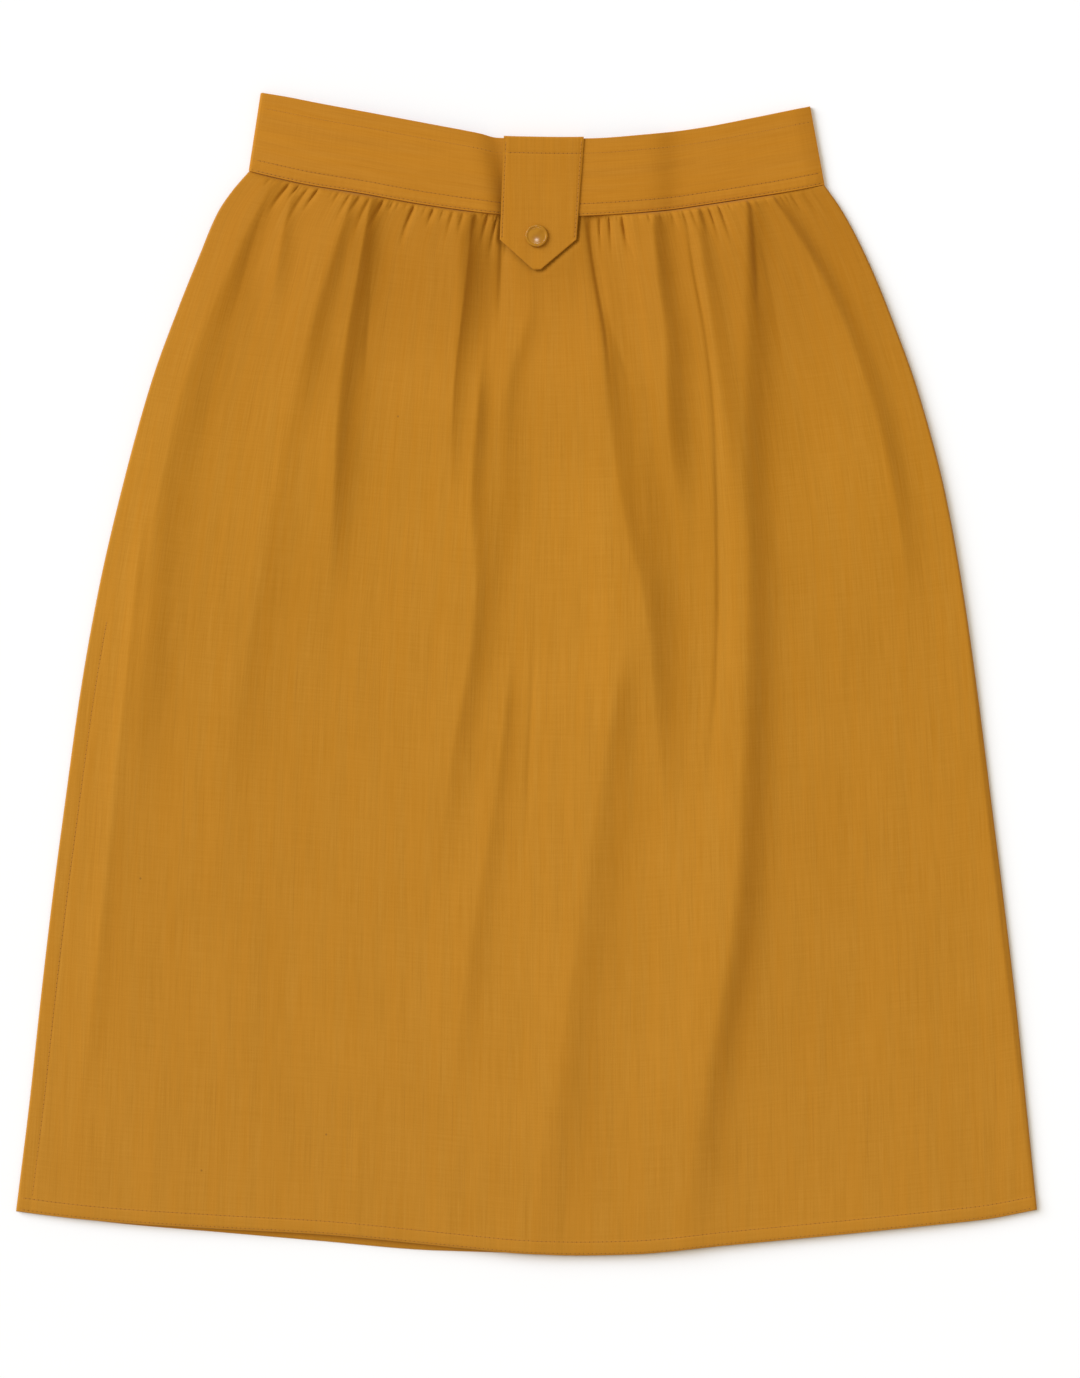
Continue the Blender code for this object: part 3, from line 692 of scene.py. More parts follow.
# %% [markdown]
# ## The waistband
#
# The band is one straight strip, stiffened and folded round the left side, so both of its legs lie on each
# other and its two ends meet at the right. Its grain runs along it, which is why its streaks lie crosswise
# to the skirt's. The front leg bows up over the gathers and has one leaning dent, to the left of the tab.
# Three rows of stitching are sunk into it: one at the seam, one above that and, hardly to be seen, one below
# the upper edge.

# %% Build the waistband
Dent = namedtuple("Dent", "x lean half depth")

BAND_TOP_LEFT = -165.0
BAND_TOP_RIGHT = 176.0
BAND_DEPTH = 49.0
BAND_ROUND = 0.6
BAND_WAVES = 0.5  # how much of the skirt's unevenness the stiffer band has
BAND_DENT = Dent(-10, 9, 8.5, 5.4)
DENT_AT_TOP = 0.5  # the share of its depth that the dent has at the upper edge
BAND_END_FALL = 1.7
BAND_END_REACH = 13.0
RIPPLE = 0.06  # how high the cloth puckers between its two lower rows of stitching
RIPPLE_AT = 4.6
RIPPLE_HALF = 2.2
SEAM_ROW = 1.4
LOWER_ROW = 7.8
UPPER_ROW = 9.5
LOWER_ROW_SINKS = 0.45  # as shares of a whole groove
UPPER_ROW_SINKS = 0.05
UNDER_ROUND = 1.0
FOLD_END_ROUND = 0.8
OUTER_TURN = BAND_WALL + BAND_SLACK / 2
INNER_TURN = BAND_SLACK / 2
MIDDLE_ROW = 24


def band_ends(down):
    """The x of the band's two ends, at a share of its depth."""
    return between(BAND_TOP_LEFT, SIDES[0].left, down), between(BAND_TOP_RIGHT, SIDES[0].right, down)


def band_y(x, down):
    """The y of a point of the band, which follows the curves of its upper edge and of the seam."""
    left, right = band_ends(down)
    share = (x - left) / (right - left)
    return between(level_y(share, "band_top"), level_y(share, "seam"), down)


def band_xy(across, down, inset):
    """The flat place of a point of the band. inset keeps the left end clear for the fold."""
    left, right = band_ends(down)
    x = between(left + inset, right, across)
    return x, band_y(x, down)


def band_bow(across, down):
    """How far the front leg stands up."""
    x, y = band_xy(across, down, 0)
    away = x - BAND_DENT.x + BAND_DENT.lean * (1 - down)
    dent = BAND_DENT.depth * between(DENT_AT_TOP, 1, down) * np.exp(-((away / BAND_DENT.half) ** 2))
    return np.clip(seam_bow(across, x) + BAND_WAVES * waves(x, y) - dent, 0, BAND_BOW)


def band_face(across, down):
    """The height of the front leg's outer side."""
    below_top = down * BAND_DEPTH
    above_seam = BAND_DEPTH - below_top
    grooves = groove(above_seam - SEAM_ROW) + LOWER_ROW_SINKS * groove(above_seam - LOWER_ROW)
    grooves = grooves + UPPER_ROW_SINKS * groove(below_top - UPPER_ROW)
    edge = rounded(np.minimum(below_top, above_seam), BAND_ROUND)
    fall = BAND_END_FALL * (1 - rolled((1 - across) * SEAM_WIDTH, BAND_END_REACH))
    x = SEAM_LEFT + across * SEAM_WIDTH
    ripples = RIPPLE * np.sin(x / 1.2 + 2 * np.sin(x / 9))
    ripples = ripples * np.exp(-(((above_seam - RIPPLE_AT) / RIPPLE_HALF) ** 2))
    return BAND_MIDDLE + (BAND_WALL / 2 - grooves + ripples) * edge + band_bow(across, down) - fall


band_below = stations(
    (0, 1.6, 6), (1.6, 8, 3), (8, 11, 6), (11, 39.6, 13), (39.6, 42.8, 6), (42.8, 46, 3), (46, BAND_DEPTH, 9)
)
band_down = band_below[:, None] / BAND_DEPTH
back_leg = np.linspace(1, 0, 61)[None, :]
front_leg = stations((0, 0.97, 250), (0.97, 1, 20))[None, :]
turn = np.linspace(0, math.pi, 18)[None, 1:-1]

x_back, y_back = band_xy(back_leg, band_down, OUTER_TURN)
x_front, y_front = band_xy(front_leg, band_down, OUTER_TURN)
under_edge = rounded(np.minimum(band_down, 1 - band_down) * BAND_DEPTH, UNDER_ROUND)
outer_turn = OUTER_TURN - FOLD_END_ROUND * (1 - under_edge)
fold_x = band_ends(band_down)[0] + OUTER_TURN
outer_x = fold_x - outer_turn * np.sin(turn)
inner_x = fold_x - INNER_TURN * np.sin(turn)
outside = np.concatenate(
    [
        metres(x_back, y_back, (BAND_WALL / 2) * (1 - under_edge)),
        metres(outer_x, band_y(outer_x, band_down), OUTER_TURN - outer_turn * np.cos(turn)),
        metres(x_front, y_front, band_face(front_leg, band_down)),
    ],
    axis=1,
)
inside = np.concatenate(
    [
        metres(x_back, y_back, BAND_WALL),
        metres(inner_x, band_y(inner_x, band_down), OUTER_TURN - INNER_TURN * np.cos(turn)),
        metres(x_front, y_front, BAND_WALL + BAND_SLACK + band_bow(front_leg, band_down)),
    ],
    axis=1,
)
along = run_of(outside[MIDDLE_ROW])
band_weave = np.stack(np.broadcast_arrays(band_down * BAND_DEPTH * MM, along[None, :]), axis=-1)
band = shell("waistband_cloth", outside, inside, band_weave)

# %% [markdown]
# ## The tab
#
# The tab is two plies of the cloth, turned out and pressed, with its grain running down. Its upper end is
# folded over the band's edge, and its point hangs free below the seam but for the button. The outline is a
# polygon, so the distance to its nearest side gives both the rounding of the edge and the line of the
# stitching.

# %% Build the tab
TAB_TOP = 10.0
TAB_WALL = 0.8
TAB_SEAT = TAB_TOP - TAB_WALL
TAB_BEHIND = BAND_WALL + BAND_SLACK  # where its turned end starts, behind the band's front leg
TAB_WIDTH = TAB_TOP_RIGHT - TAB_TOP_LEFT
TAB_EDGE = 2.4  # how much of each side has more points
TAB_STRAIGHT_Y = 325.0  # a y where both sides are straight
TAB_LIP = 0.6
TAB_ROUND = 0.8
TAB_FALL = 0.35
TAB_EDGE_ROW = 1.3
TAB_CROSS_ROW = 9.7
FOLD_RISE = 1.3
FOLD_REACH = 1.6
INNER_FOLD = 0.3
Stretch = namedtuple("Stretch", "left right y sinks shares")


def tab_lip(x):
    """The y of the band's upper edge behind the tab, and the gap between them."""
    return level_y((x - BAND_TOP_LEFT) / (BAND_TOP_RIGHT - BAND_TOP_LEFT), "band_top") + SEAM_GAP


def tab_face(x, y):
    """The height of the tab's outer side."""
    edge = np.maximum(inside_tab(x, y), 0)
    in_straight = ramp(y, TAB_FOOT_Y - 2, TAB_FOOT_Y + 1)
    grooves = groove(edge - TAB_EDGE_ROW) * in_straight + groove(tab_lip(x) - y - TAB_CROSS_ROW)
    fall = TAB_FALL * ramp(y, TAB_FOOT_Y + 14, TAB_FOOT_Y - 16)
    return TAB_TOP - fall - grooves - (TAB_WALL / 2) * (1 - rounded(edge, TAB_ROUND))


tab_spans = ((0, TAB_EDGE, 7), (TAB_EDGE, TAB_WIDTH - TAB_EDGE, 38), (TAB_WIDTH - TAB_EDGE, TAB_WIDTH, 7))
tab_across = stations(*tab_spans) / TAB_WIDTH
top_x = between(TAB_TOP_LEFT, TAB_TOP_RIGHT, tab_across)
lip = tab_lip(top_x)
from_side = np.maximum(inside_tab(top_x, TAB_STRAIGHT_Y), 0)
side_fall = (TAB_WALL / 2) * (1 - rounded(from_side, TAB_ROUND))
tab_outside, tab_inside = [], []
for share in np.linspace(0, 1, 5)[:-1]:
    height = between(TAB_BEHIND, TAB_TOP - FOLD_RISE, share)
    tab_outside.append(metres(top_x, lip + TAB_LIP - 0.4 * side_fall, height))
    tab_inside.append(metres(top_x, lip, between(TAB_BEHIND, TAB_SEAT - INNER_FOLD, share)))
for angle in np.linspace(0, math.pi / 2, 8)[:-1]:
    low = 1 - math.sin(angle)
    forward = 1 - math.cos(angle)
    height = TAB_TOP - FOLD_RISE * low - side_fall * (1 - low)
    tab_outside.append(metres(top_x, lip + TAB_LIP - FOLD_REACH * forward, height))
    tab_inside.append(metres(top_x, lip - INNER_FOLD * forward, TAB_SEAT - INNER_FOLD * low))

fold_y = lip + TAB_LIP - FOLD_REACH
left_side = (TAB_TOP_LEFT, TAB_FOOT_LEFT)
right_side = (TAB_TOP_RIGHT, TAB_FOOT_RIGHT)
left_point = (TAB_FOOT_LEFT, TAB_TIP_LEFT)
right_point = (TAB_FOOT_RIGHT, TAB_TIP_RIGHT)
for stretch in (
    Stretch(left_side, right_side, (fold_y, TAB_FOOT_Y), 0, np.linspace(0, 1, 85)),
    Stretch(left_point, right_point, (TAB_FOOT_Y, TAB_TIP_Y), TAB_FALL, np.linspace(0, 1, 27)[1:]),
):
    for share in stretch.shares:
        x = between(between(*stretch.left, share), between(*stretch.right, share), tab_across)
        y = between(*stretch.y, share)
        tab_outside.append(metres(x, y, tab_face(x, y)))
        tab_inside.append(metres(x, y, TAB_SEAT - stretch.sinks * eased(share)))
tab_outside = np.stack(tab_outside)
tab_inside = np.stack(tab_inside)
along = run_of(tab_outside[:, len(tab_across) // 2])
tab_weave = np.stack(np.broadcast_arrays(tab_outside[:, :, 0] - 0.5, along[:, None]), axis=-1)
tab = shell("tab_cloth", tab_outside, tab_inside, tab_weave)

# %% [markdown]
# ## The button
#
# The button is a moulded one, a low dome inside a raised rim. It starts as a cylinder at its place. Each
# ring of the rim and the dome is then inset from the face before it and moved up or down, as on a lathe, and
# a subdivision rounds it all.

# %% Model the button
BUTTON_AT = (6.3, 271.3)
BUTTON_SIDES = 48
BUTTON_EDGE = 1.2
BUTTON_RINGS = (  # radius and height of each
    (7.0, 1.2), (6.85, 1.5), (6.4, 1.66), (5.9, 1.64), (5.5, 1.45), (5.2, 1.35), (4.9, 1.35),
    (4.2, 1.41), (3.2, 1.47), (2.1, 1.52), (1.0, 1.545), (0.3, 1.55),
)
BUTTON_SINKS = 0.05

button_base = (TAB_TOP - BUTTON_SINKS) * MM
deselect_all()
bpy.ops.mesh.primitive_cylinder_add(
    vertices=BUTTON_SIDES,
    radius=BUTTON_RINGS[0][0] * MM,
    depth=BUTTON_EDGE * MM,
    location=(BUTTON_AT[0] * MM, BUTTON_AT[1] * MM, button_base + BUTTON_EDGE * MM / 2),
)
button = bpy.context.object
button.name = "moulded_button"


def select_faces(obj, wanted):
    """Selects the faces whose polygon passes a test, and leaves edit mode on."""
    bpy.ops.object.mode_set(mode="EDIT")
    bpy.ops.mesh.select_all(action="DESELECT")
    bpy.ops.object.mode_set(mode="OBJECT")
    for face in obj.data.polygons:
        face.select = bool(wanted(face))
    bpy.ops.object.mode_set(mode="EDIT")


bpy.ops.object.mode_set(mode="EDIT")
bpy.ops.mesh.select_mode(type="FACE")
select_faces(button, lambda face: face.normal.z < -0.9)
bpy.ops.mesh.inset(thickness=0.6 * MM, depth=0)
bpy.ops.mesh.extrude_region_move(TRANSFORM_OT_translate={"value": (0, 0, -0.05 * MM)})
bpy.ops.mesh.poke()
select_faces(button, lambda face: face.normal.z > 0.9)
for (outer_radius, lower), (radius, height) in zip(BUTTON_RINGS, BUTTON_RINGS[1:]):
    bpy.ops.mesh.inset(thickness=(outer_radius - radius) * MM, depth=(height - lower) * MM)
bpy.ops.mesh.poke()
bpy.ops.mesh.select_all(action="SELECT")
bpy.ops.mesh.normals_make_consistent(inside=False)
bpy.ops.object.mode_set(mode="OBJECT")


def apply_all(obj):
    """Applies the object's modifiers and then its place, so that the place is in the mesh."""
    deselect_all()
    obj.select_set(True)
    bpy.context.view_layer.objects.active = obj
    for modifier in list(obj.modifiers):
        bpy.ops.object.modifier_apply(modifier=modifier.name)
    bpy.ops.object.transform_apply(location=True, rotation=True, scale=True)


rounding = button.modifiers.new("rounding", "SUBSURF")
rounding.levels = rounding.render_levels = 1
apply_all(button)
smooth_faces(button, 80)
button_size = [round(side / MM, 2) for side in button.dimensions]
print("Button faces:", len(button.data.polygons), "and size, mm:", button_size)

# %% [markdown]
# ## One stitch, sewn many times
#
# A lockstitch shows as a short length of thread that dips into a needle hole at its end. One stitch is
# modelled from a sphere drawn out along X, with a small flat dark bead that paints the shade of the hole. The
# rows then copy its points along each line of sewing, turned the way the line runs. Every row sits in its
# groove.

# %% Model one stitch
STITCH_PITCH = 2.7
STITCH_LENGTH = 2.0
STITCH_WIDTH = 0.42
STITCH_HEIGHT = 0.26
STITCH_SLANT = 0.05  # how unevenly the stitches lean
# the hole is a small flat bead that carries the painted shade of the needle hole
HOLE_WIDTH = 0.75
HOLE_FLATNESS = 0.1

deselect_all()
bpy.ops.mesh.primitive_uv_sphere_add(segments=6, ring_count=4, radius=0.5)
stitch_model = bpy.context.object
stitch_model.name = "stitch_model"
bpy.ops.object.mode_set(mode="EDIT")
bpy.ops.transform.rotate(value=math.pi / 2, orient_axis="Y", center_override=(0, 0, 0))
bpy.ops.transform.resize(value=(STITCH_LENGTH, STITCH_WIDTH, STITCH_HEIGHT), center_override=(0, 0, 0))
bpy.ops.object.mode_set(mode="OBJECT")
thread_faces = len(stitch_model.data.polygons)

deselect_all()
bpy.ops.mesh.primitive_uv_sphere_add(
    segments=6,
    ring_count=3,
    radius=0.5,
    location=(STITCH_PITCH / 2, 0, 0),
    scale=(HOLE_WIDTH, HOLE_WIDTH, HOLE_FLATNESS),
)
stitch_model.select_set(True)
bpy.context.view_layer.objects.active = stitch_model
bpy.ops.object.join()
apply_all(stitch_model)
stitch_points = np.array([vertex.co for vertex in stitch_model.data.vertices])
stitch_faces = [list(face.vertices) for face in stitch_model.data.polygons]
bpy.data.objects.remove(stitch_model)
print("One stitch has", len(stitch_faces), "faces")

# %% Sew a row
def places_along(path, at):
    """The points of a path at these distances along it."""
    return np.stack([np.interp(at, run_of(path), path[:, axis]) for axis in range(3)], axis=-1)


def spaced_points(path, pitch):
    """Points along a path at even steps, and the way the path runs there."""
    at = np.arange(pitch / 2, run_of(path)[-1] - pitch / 2, pitch)
    way = places_along(path, at + 0.5) - places_along(path, at - 0.5)
    return places_along(path, at), way / np.linalg.norm(way, axis=1, keepdims=True)


def sew(name, paths, side=1):
    """One mesh with a stitch at each step of each path. side is 1 on an upper side and -1 on a lower one."""
    points, faces, finishes = [], [], []
    for path in paths:
        places, ways = spaced_points(np.asarray(path), STITCH_PITCH)
        for i, (place, way) in enumerate(zip(places, ways)):
            slant = STITCH_SLANT * (uneven(i) - 0.5)
            way = np.array([way[0] - slant * way[1], way[1] + slant * way[0], way[2]])
            across = np.cross((0, 0, side), way)
            across /= np.linalg.norm(across)
            turned = np.stack([way, across, np.cross(way, across)])
            start = len(points) * len(stitch_points)
            points.append((stitch_points * between(0.94, 1.06, uneven(i + 4))) @ turned + place)
            faces += [[corner + start for corner in face] for face in stitch_faces]
            # the bead's faces take the painted shade of the needle hole
            finishes += [0] * thread_faces + [1] * (len(stitch_faces) - thread_faces)
    data = bpy.data.meshes.new(name)
    data.from_pydata(np.concatenate(points) * MM, [], faces)
    data.materials.append(None)
    data.materials.append(None)
    data.polygons.foreach_set("material_index", finishes)
    made = bpy.data.objects.new(name, data)
    bpy.context.scene.collection.objects.link(made)
    smooth_faces(made, 80)
    print(name, "has", len(points), "stitches")
    return made


# %% Rows of the hem, the side, the band and the tab
THREAD_SITS = 0.06  # how far a stitch's middle is above the bottom of its groove
UPPER_ROW_SITS = -0.035
UNDER_ROW_SITS = STITCH_HEIGHT / 2 + 0.02
TAB_ROW_TOP = 331.5
TAB_ROW_LENGTH = 332.3 - TAB_FOOT_Y
CROSS_ROW_ENDS = 1.6
along_row = np.linspace(0.004, 0.996, 600)


def front_path(across, down):
    x, y = panel_xy(across, down, "front_hem")
    return np.stack(np.broadcast_arrays(x, y, front_height(across, down) + THREAD_SITS), axis=-1)


def band_path(above_seam, sits=THREAD_SITS):
    down = 1 - above_seam / BAND_DEPTH
    x, y = band_xy(along_row, down, OUTER_TURN)
    return np.stack(np.broadcast_arrays(x, y, band_face(along_row, down) + sits), axis=-1)


def tab_path(x, y):
    return np.stack(np.broadcast_arrays(x, y, tab_face(x, y) + THREAD_SITS), axis=-1)


hem_rows = [front_path(along_row, 1 - from_hem / PANEL_LENGTH) for from_hem in (HEM_DEPTH, HEM_EDGE_ROW)]
hem_stitches = sew("hem_stitches", hem_rows)

side_down = np.linspace(SIDE_ROW_STARTS, 1 - HEM_DEPTH / PANEL_LENGTH, 400)
side_across = SIDE_ROW / (side_x(side_down, "right") - side_x(side_down, "left"))
side_stitches = sew("side_stitches", [front_path(side_across, side_down)])

band_stitches = sew(
    "band_stitches",
    [band_path(SEAM_ROW), band_path(LOWER_ROW), band_path(BAND_DEPTH - UPPER_ROW, UPPER_ROW_SITS)],
)

down_tab = np.linspace(0.02, 0.985, 200)
cross_x = np.linspace(TAB_TOP_LEFT + CROSS_ROW_ENDS, TAB_TOP_RIGHT - CROSS_ROW_ENDS, 120)
left_x = between(*left_side, down_tab) + TAB_EDGE_ROW
right_x = between(*right_side, down_tab) - TAB_EDGE_ROW
tab_y = TAB_ROW_TOP - TAB_ROW_LENGTH * down_tab
tab_stitches = sew(
    "tab_stitches",
    [tab_path(left_x, tab_y), tab_path(right_x, tab_y), tab_path(cross_x, tab_lip(cross_x) - TAB_CROSS_ROW)],
)

under_rows = []
for from_hem in (HEM_DEPTH, HEM_EDGE_ROW):
    x, y = panel_xy(along_row, 1 - from_hem / PANEL_LENGTH, "back_hem")
    under_rows.append(np.stack(np.broadcast_arrays(x, y, UNDER_ROW_SITS), axis=-1))
back_stitches = sew("back_hem_stitches", under_rows, side=-1)

# %% [markdown]
# ## Finishes
#
# A finish is a small graph of nodes. A helper class lets the graph be written as sums, so that a line such
# as 0.5 + 0.3 * streaks adds its own Math nodes. One method makes every other node from its type, its
# settings and the values or links of its sockets.

# %% A way to write nodes
class Signal:
    """A value that a node gives. Sums and products of signals add their Math nodes."""

    def __init__(self, finish, socket):
        self.finish = finish
        self.socket = socket

    def joined(self, operation, first, second):
        return self.finish.node("ShaderNodeMath", {"operation": operation}, {0: first, 1: second})

    def __add__(self, other):
        return self.joined("ADD", self, other)

    def __sub__(self, other):
        return self.joined("SUBTRACT", self, other)

    def __rsub__(self, other):
        return self.joined("SUBTRACT", other, self)

    def __mul__(self, other):
        return self.joined("MULTIPLY", self, other)

    __radd__ = __add__
    __rmul__ = __mul__


class Finish:
    """A material for one of the skirt's surfaces, and the way to add nodes to it."""

    def __init__(self, name, **constants):
        self.material = bpy.data.materials.new(name)
        self.material.use_nodes = True
        self.tree = self.material.node_tree
        self.shader = self.tree.nodes["Principled BSDF"]
        for socket, value in constants.items():
            self.shader.inputs[socket.replace("_", " ")].default_value = value

    def feed(self, socket, value):
        if isinstance(value, Signal):
            self.tree.links.new(value.socket, socket)
        else:
            socket.default_value = value

    def node(self, kind, settings=None, values=None, output=0):
        """Adds a node, sets its settings and then feeds its sockets."""
        made = self.tree.nodes.new(kind)
        for setting, value in (settings or {}).items():
            setattr(made, setting, value)
        for socket, value in (values or {}).items():
            self.feed(made.inputs[socket], value)
        return Signal(self, made.outputs[output])

    def show(self, **sockets):
        """Feeds the shader's own sockets."""
        for socket, value in sockets.items():
            self.feed(self.shader.inputs[socket.replace("_", " ")], value)

    def mixed(self, factor, first, second):
        return self.node("ShaderNodeMix", {"data_type": "RGBA"}, {0: factor, 6: first, 7: second}, output=2)

    def noise(self, place, size, detail=2.0):
        """Noise whose patches have this size, in metres, along each axis of place."""
        shares = [1 / side for side in size]
        scaled = self.node("ShaderNodeVectorMath", {"operation": "MULTIPLY"}, {0: place, 1: shares})
        return self.node("ShaderNodeTexNoise", {}, {"Vector": scaled, "Scale": 1.0, "Detail": detail})

    def step(self, value, low, high):
        """0 below low, 1 above high, and an S between."""
        return self.node(
            "ShaderNodeMapRange",
            {"interpolation_type": "SMOOTHSTEP"},
            {"Value": value, "From Min": low, "From Max": high},
        )

    def bump(self, height, distance, strength=1.0):
        return self.node("ShaderNodeBump", {}, {"Height": height, "Distance": distance, "Strength": strength})


# %% [markdown]
# ## The woven cloth
#
# The cloth is a plain weave with slightly uneven yarns. From a step away that reads as very fine streaks
# along the grain, a fainter crosshatch across it and a soft mottle, with a thicker, darker thread here and
# there. Close up, the single threads show. Near the gathers the panels carry painted shade, a redder and
# darker colour that stands in for the shade among their folds. They are paler towards the hem, and carry a
# few dark flecks. The surface is matt, with the soft sheen of short fibres at the edges. Noise that is
# stretched along the grain makes the streaks, and a product of two waves the threads.

# %% Cloth of the panels, the band and the tab
THREAD_PITCH = 0.55 * MM
# painted shade near the gathers: how far below the seam it reaches, and its redder, darker colour
GATHER_SHADE_ENDS = 200 * MM
GATHER_SHADE_COLOUR = (0.26, 0.07, 0.0, 1)
PALER = (0.48, 0.28, 0.09, 1)
GOLDEN = (0.52, 0.195, 0.002, 1)
DARK_THREAD = (0.20, 0.07, 0.002, 1)
FLECK = (0.10, 0.04, 0.01, 1)
FLECK_RADII = (0.3 * MM, 0.9 * MM)
FLECKS = ((-100, 131), (-248, 430), (-203, 607), (-126, 580))  # across and down the flat cloth, in mm


def woven(name, shade, light, flecks=(), gather_shade=0.0, fade=0.0):
    """Cloth whose colour runs from shade to light, with its grain along the second axis of its UV map."""
    finish = Finish(
        name,
        Sheen_Weight=0.10,
        Sheen_Roughness=0.45,
        Sheen_Tint=(1.0, 0.8, 0.5, 1),
        Specular_IOR_Level=0.18,
    )
    place = finish.node("ShaderNodeUVMap", {"uv_map": "cloth"})
    warp = finish.noise(place, (0.9 * MM, 32 * MM, 1))
    weft = finish.noise(place, (32 * MM, 0.9 * MM, 1))
    slub = finish.noise(place, (3.2 * MM, 110 * MM, 1), 1.0)
    mottle = finish.noise(place, (46 * MM, 60 * MM, 1), 3.0)
    hue = finish.noise(place, (7 * MM, 110 * MM, 1), 2.0)
    thick = finish.noise(place, (1.3 * MM, 90 * MM, 1), 1.0)
    streaks = 0.42 * warp + 0.24 * weft + 0.18 * slub + 0.16 * mottle
    tone = finish.step(streaks, 0.26, 0.74)
    across = finish.node("ShaderNodeSeparateXYZ", {}, {0: place}, 0)
    along = finish.node("ShaderNodeSeparateXYZ", {}, {0: place}, 1)
    over = finish.node("ShaderNodeMath", {"operation": "SINE"}, {0: across * (math.tau / THREAD_PITCH)})
    under = finish.node("ShaderNodeMath", {"operation": "SINE"}, {0: along * (math.tau / THREAD_PITCH)})
    threads = 0.5 + 0.5 * over * under
    colour = finish.mixed(tone, shade, light)
    colour = finish.mixed(0.26 * finish.step(hue, 0.3, 0.7), colour, GOLDEN)
    colour = finish.mixed(0.10 * finish.step(thick, 0.62, 0.76), colour, DARK_THREAD)
    colour = finish.mixed(0.06 * threads, colour, [0.6 * part for part in shade[:3]] + [1])
    # painted shade: a darker, redder colour near the waist seam stands in for the shade among the gathers
    gather_shade_mask = 1 - finish.step(along, 0.0, GATHER_SHADE_ENDS)
    colour = finish.mixed(gather_shade * gather_shade_mask, colour, GATHER_SHADE_COLOUR)
    colour = finish.mixed(fade / (PANEL_LENGTH * MM) * along, colour, PALER)
    for u, v in flecks:
        ends = {0: place, 1: (u * MM, v * MM, 0)}
        away = finish.node("ShaderNodeVectorMath", {"operation": "DISTANCE"}, ends, "Value")
        colour = finish.mixed(0.45 * (1 - finish.step(away, *FLECK_RADII)), colour, FLECK)
    height = 0.35 * threads + 0.45 * warp + 0.2 * weft
    finish.show(Base_Color=colour, Roughness=0.70 + 0.16 * streaks, Normal=finish.bump(height, 0.12 * MM))
    return finish.material


# the skirt takes 0.20 of painted shade near the gathers
skirt_cloth = woven("skirt_cloth", (0.416, 0.166, 0.0025, 1), (0.498, 0.215, 0.0150, 1), FLECKS, 0.20, 0.07)
band_cloth = woven("band_cloth", (0.440, 0.169, 0.0060, 1), (0.512, 0.211, 0.0150, 1))
tab_cloth = woven("tab_cloth", (0.425, 0.164, 0.0045, 1), (0.497, 0.206, 0.0140, 1))
print("Cloth nodes:", len(skirt_cloth.node_tree.nodes), "and", len(band_cloth.node_tree.nodes))

# %% [markdown]
# ## Thread, button and floor
#
# The thread is a smoother yarn in the cloth's colour, twisted and a little shiny, and the shade in its needle
# holes is painted, as dark yarn on a flat bead. The button is glossy plastic, cloudy inside, with fine
# turning marks. The floor is matt.

# %% Thread, button and floor
def spun(name, shade, light, roughness):
    """Yarn whose twist runs from shade to light."""
    finish = Finish(name, Specular_IOR_Level=0.3, Sheen_Weight=0.1)
    place = finish.node("ShaderNodeTexCoord", {}, {}, "Object")
    twist = finish.noise(place, (0.4 * MM, 0.4 * MM, 0.4 * MM), 1.0)
    finish.show(
        Base_Color=finish.mixed(finish.step(twist, 0.35, 0.65), shade, light),
        Roughness=roughness + 0.1 * twist,
        Normal=finish.bump(twist, 0.05 * MM),
    )
    return finish.material


thread = spun("thread", (0.36, 0.135, 0.007, 1), (0.46, 0.185, 0.012, 1), 0.5)
# painted shade: a dark colour for the needle-hole beads, standing in for the shade in the holes
needle_hole_shade = spun("needle_hole_shade", (0.17, 0.06, 0.004, 1), (0.22, 0.08, 0.005, 1), 0.8)

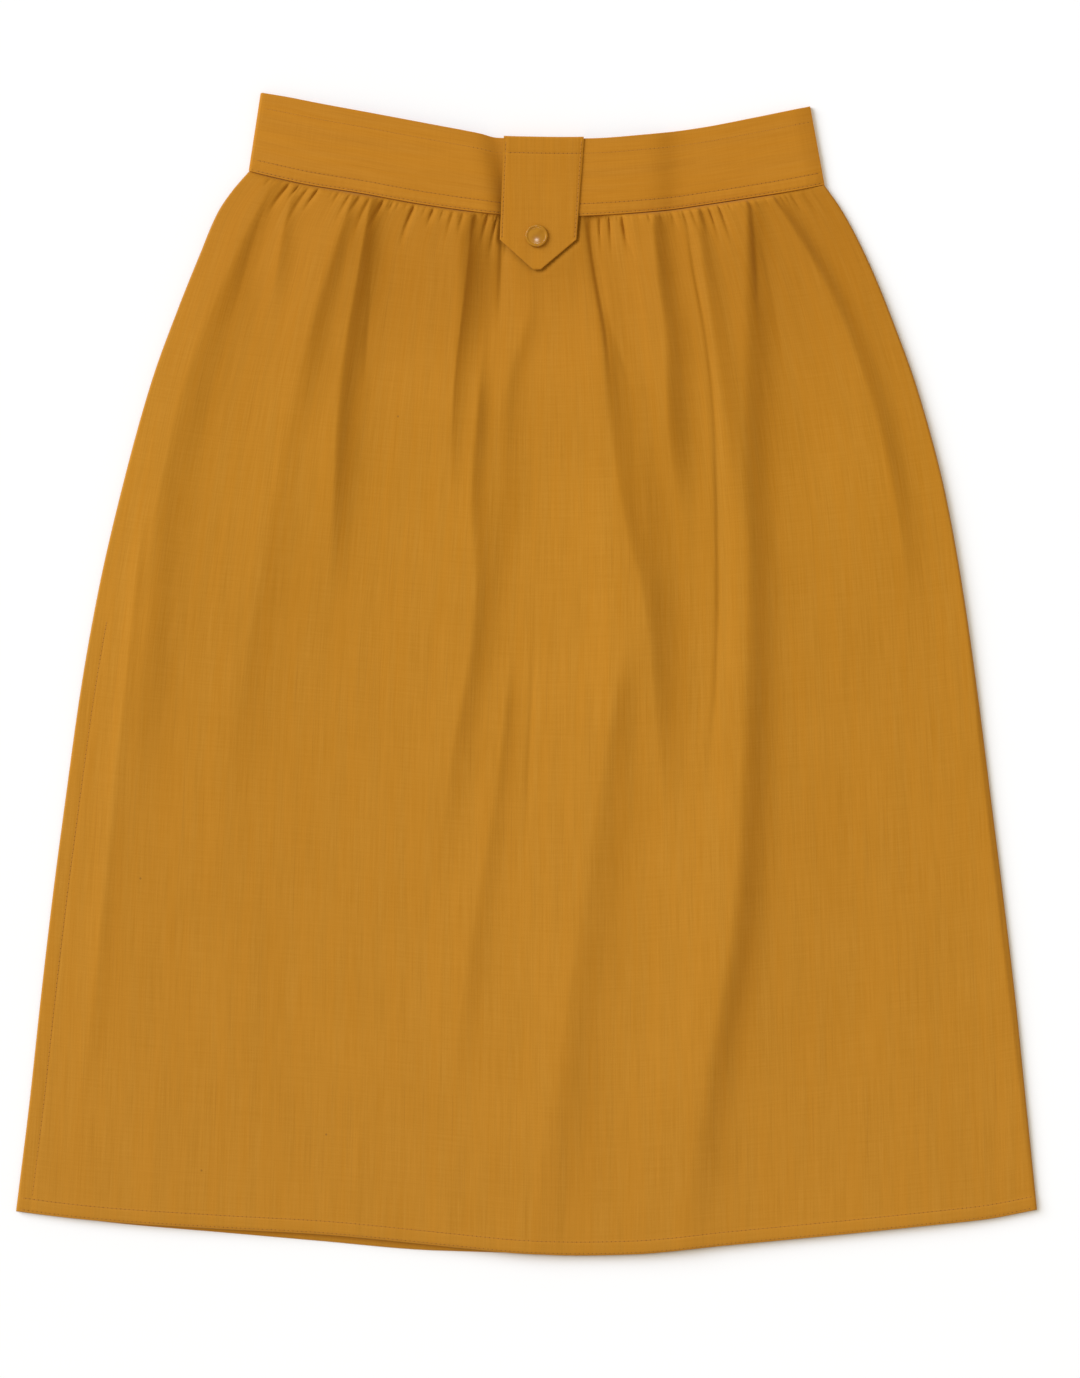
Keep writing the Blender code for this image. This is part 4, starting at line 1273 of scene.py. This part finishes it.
plastic = Finish("button_plastic", Specular_IOR_Level=0.1, Coat_Roughness=0.13, Coat_IOR=1.5)
place = plastic.node("ShaderNodeTexCoord", {}, {}, "Object")
cloud = plastic.noise(place, (5 * MM, 3.4 * MM, 3 * MM), 3.0)
grain = plastic.noise(place, (0.35 * MM, 0.35 * MM, 0.35 * MM), 2.0)
plastic.show(
    Base_Color=plastic.mixed(plastic.step(cloud, 0.3, 0.7), (0.36, 0.145, 0.004, 1), (0.42, 0.178, 0.008, 1)),
    Roughness=0.42 + 0.08 * grain,
    Coat_Weight=0.22 + 0.06 * cloud,
    Normal=plastic.bump(grain, 0.01 * MM),
)

matt = Finish("floor_matt", Specular_IOR_Level=0.1)
place = matt.node("ShaderNodeTexCoord", {}, {}, "Object")
drift = matt.noise(place, (0.5, 0.5, 0.5), 3.0)
matt.show(
    Base_Color=matt.mixed(drift, (0.915, 0.915, 0.91, 1), (0.925, 0.925, 0.925, 1)),
    Roughness=0.85 + 0.1 * drift,
)
print("Finishes:", [material.name for material in bpy.data.materials])

# %% [markdown]
# ## Dress the frame
#
# Each piece takes its finish and rides on the part's one body, and the CAD solid it stands for is hidden.
# The cut of a panel is worked out from its widths and length.

# %% Give each piece its finish and body, and hide its CAD solid
SKIRT = (skirt_cloth, "skirt_cloth")
BAND = (band_cloth, "band_cloth")
TAB = (tab_cloth, "band_cloth")
DRESSED = (
    (front, SKIRT, "front_panel"),
    (back, SKIRT, "back_panel"),
    (band, BAND, "waistband"),
    (tab, TAB, "tab"),
    (button, (plastic.material, "button_plastic"), "button"),
)
for piece, (material, slot), node in DRESSED:
    piece.data.materials.clear()
    piece.data.materials.append(material)
    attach(piece, "root")
    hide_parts(node)

for piece, slot in (
    (hem_stitches, "skirt_cloth"),
    (side_stitches, "skirt_cloth"),
    (back_stitches, "skirt_cloth"),
    (band_stitches, "band_cloth"),
    (tab_stitches, "band_cloth"),
):
    piece.data.materials[0] = thread
    piece.data.materials[1] = needle_hole_shade
    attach(piece, "root")
floor.data.materials.append(matt.material)

# %% The cut of a panel
PANEL_CUT = (HEM_WIDTH * MM, PANEL_LENGTH * MM)
PANEL_AREA = (GATHERED_FROM + HEM_WIDTH) / 2 * PANEL_LENGTH * MM**2

print("Cut of a panel, square metres:", round(PANEL_AREA, 3))
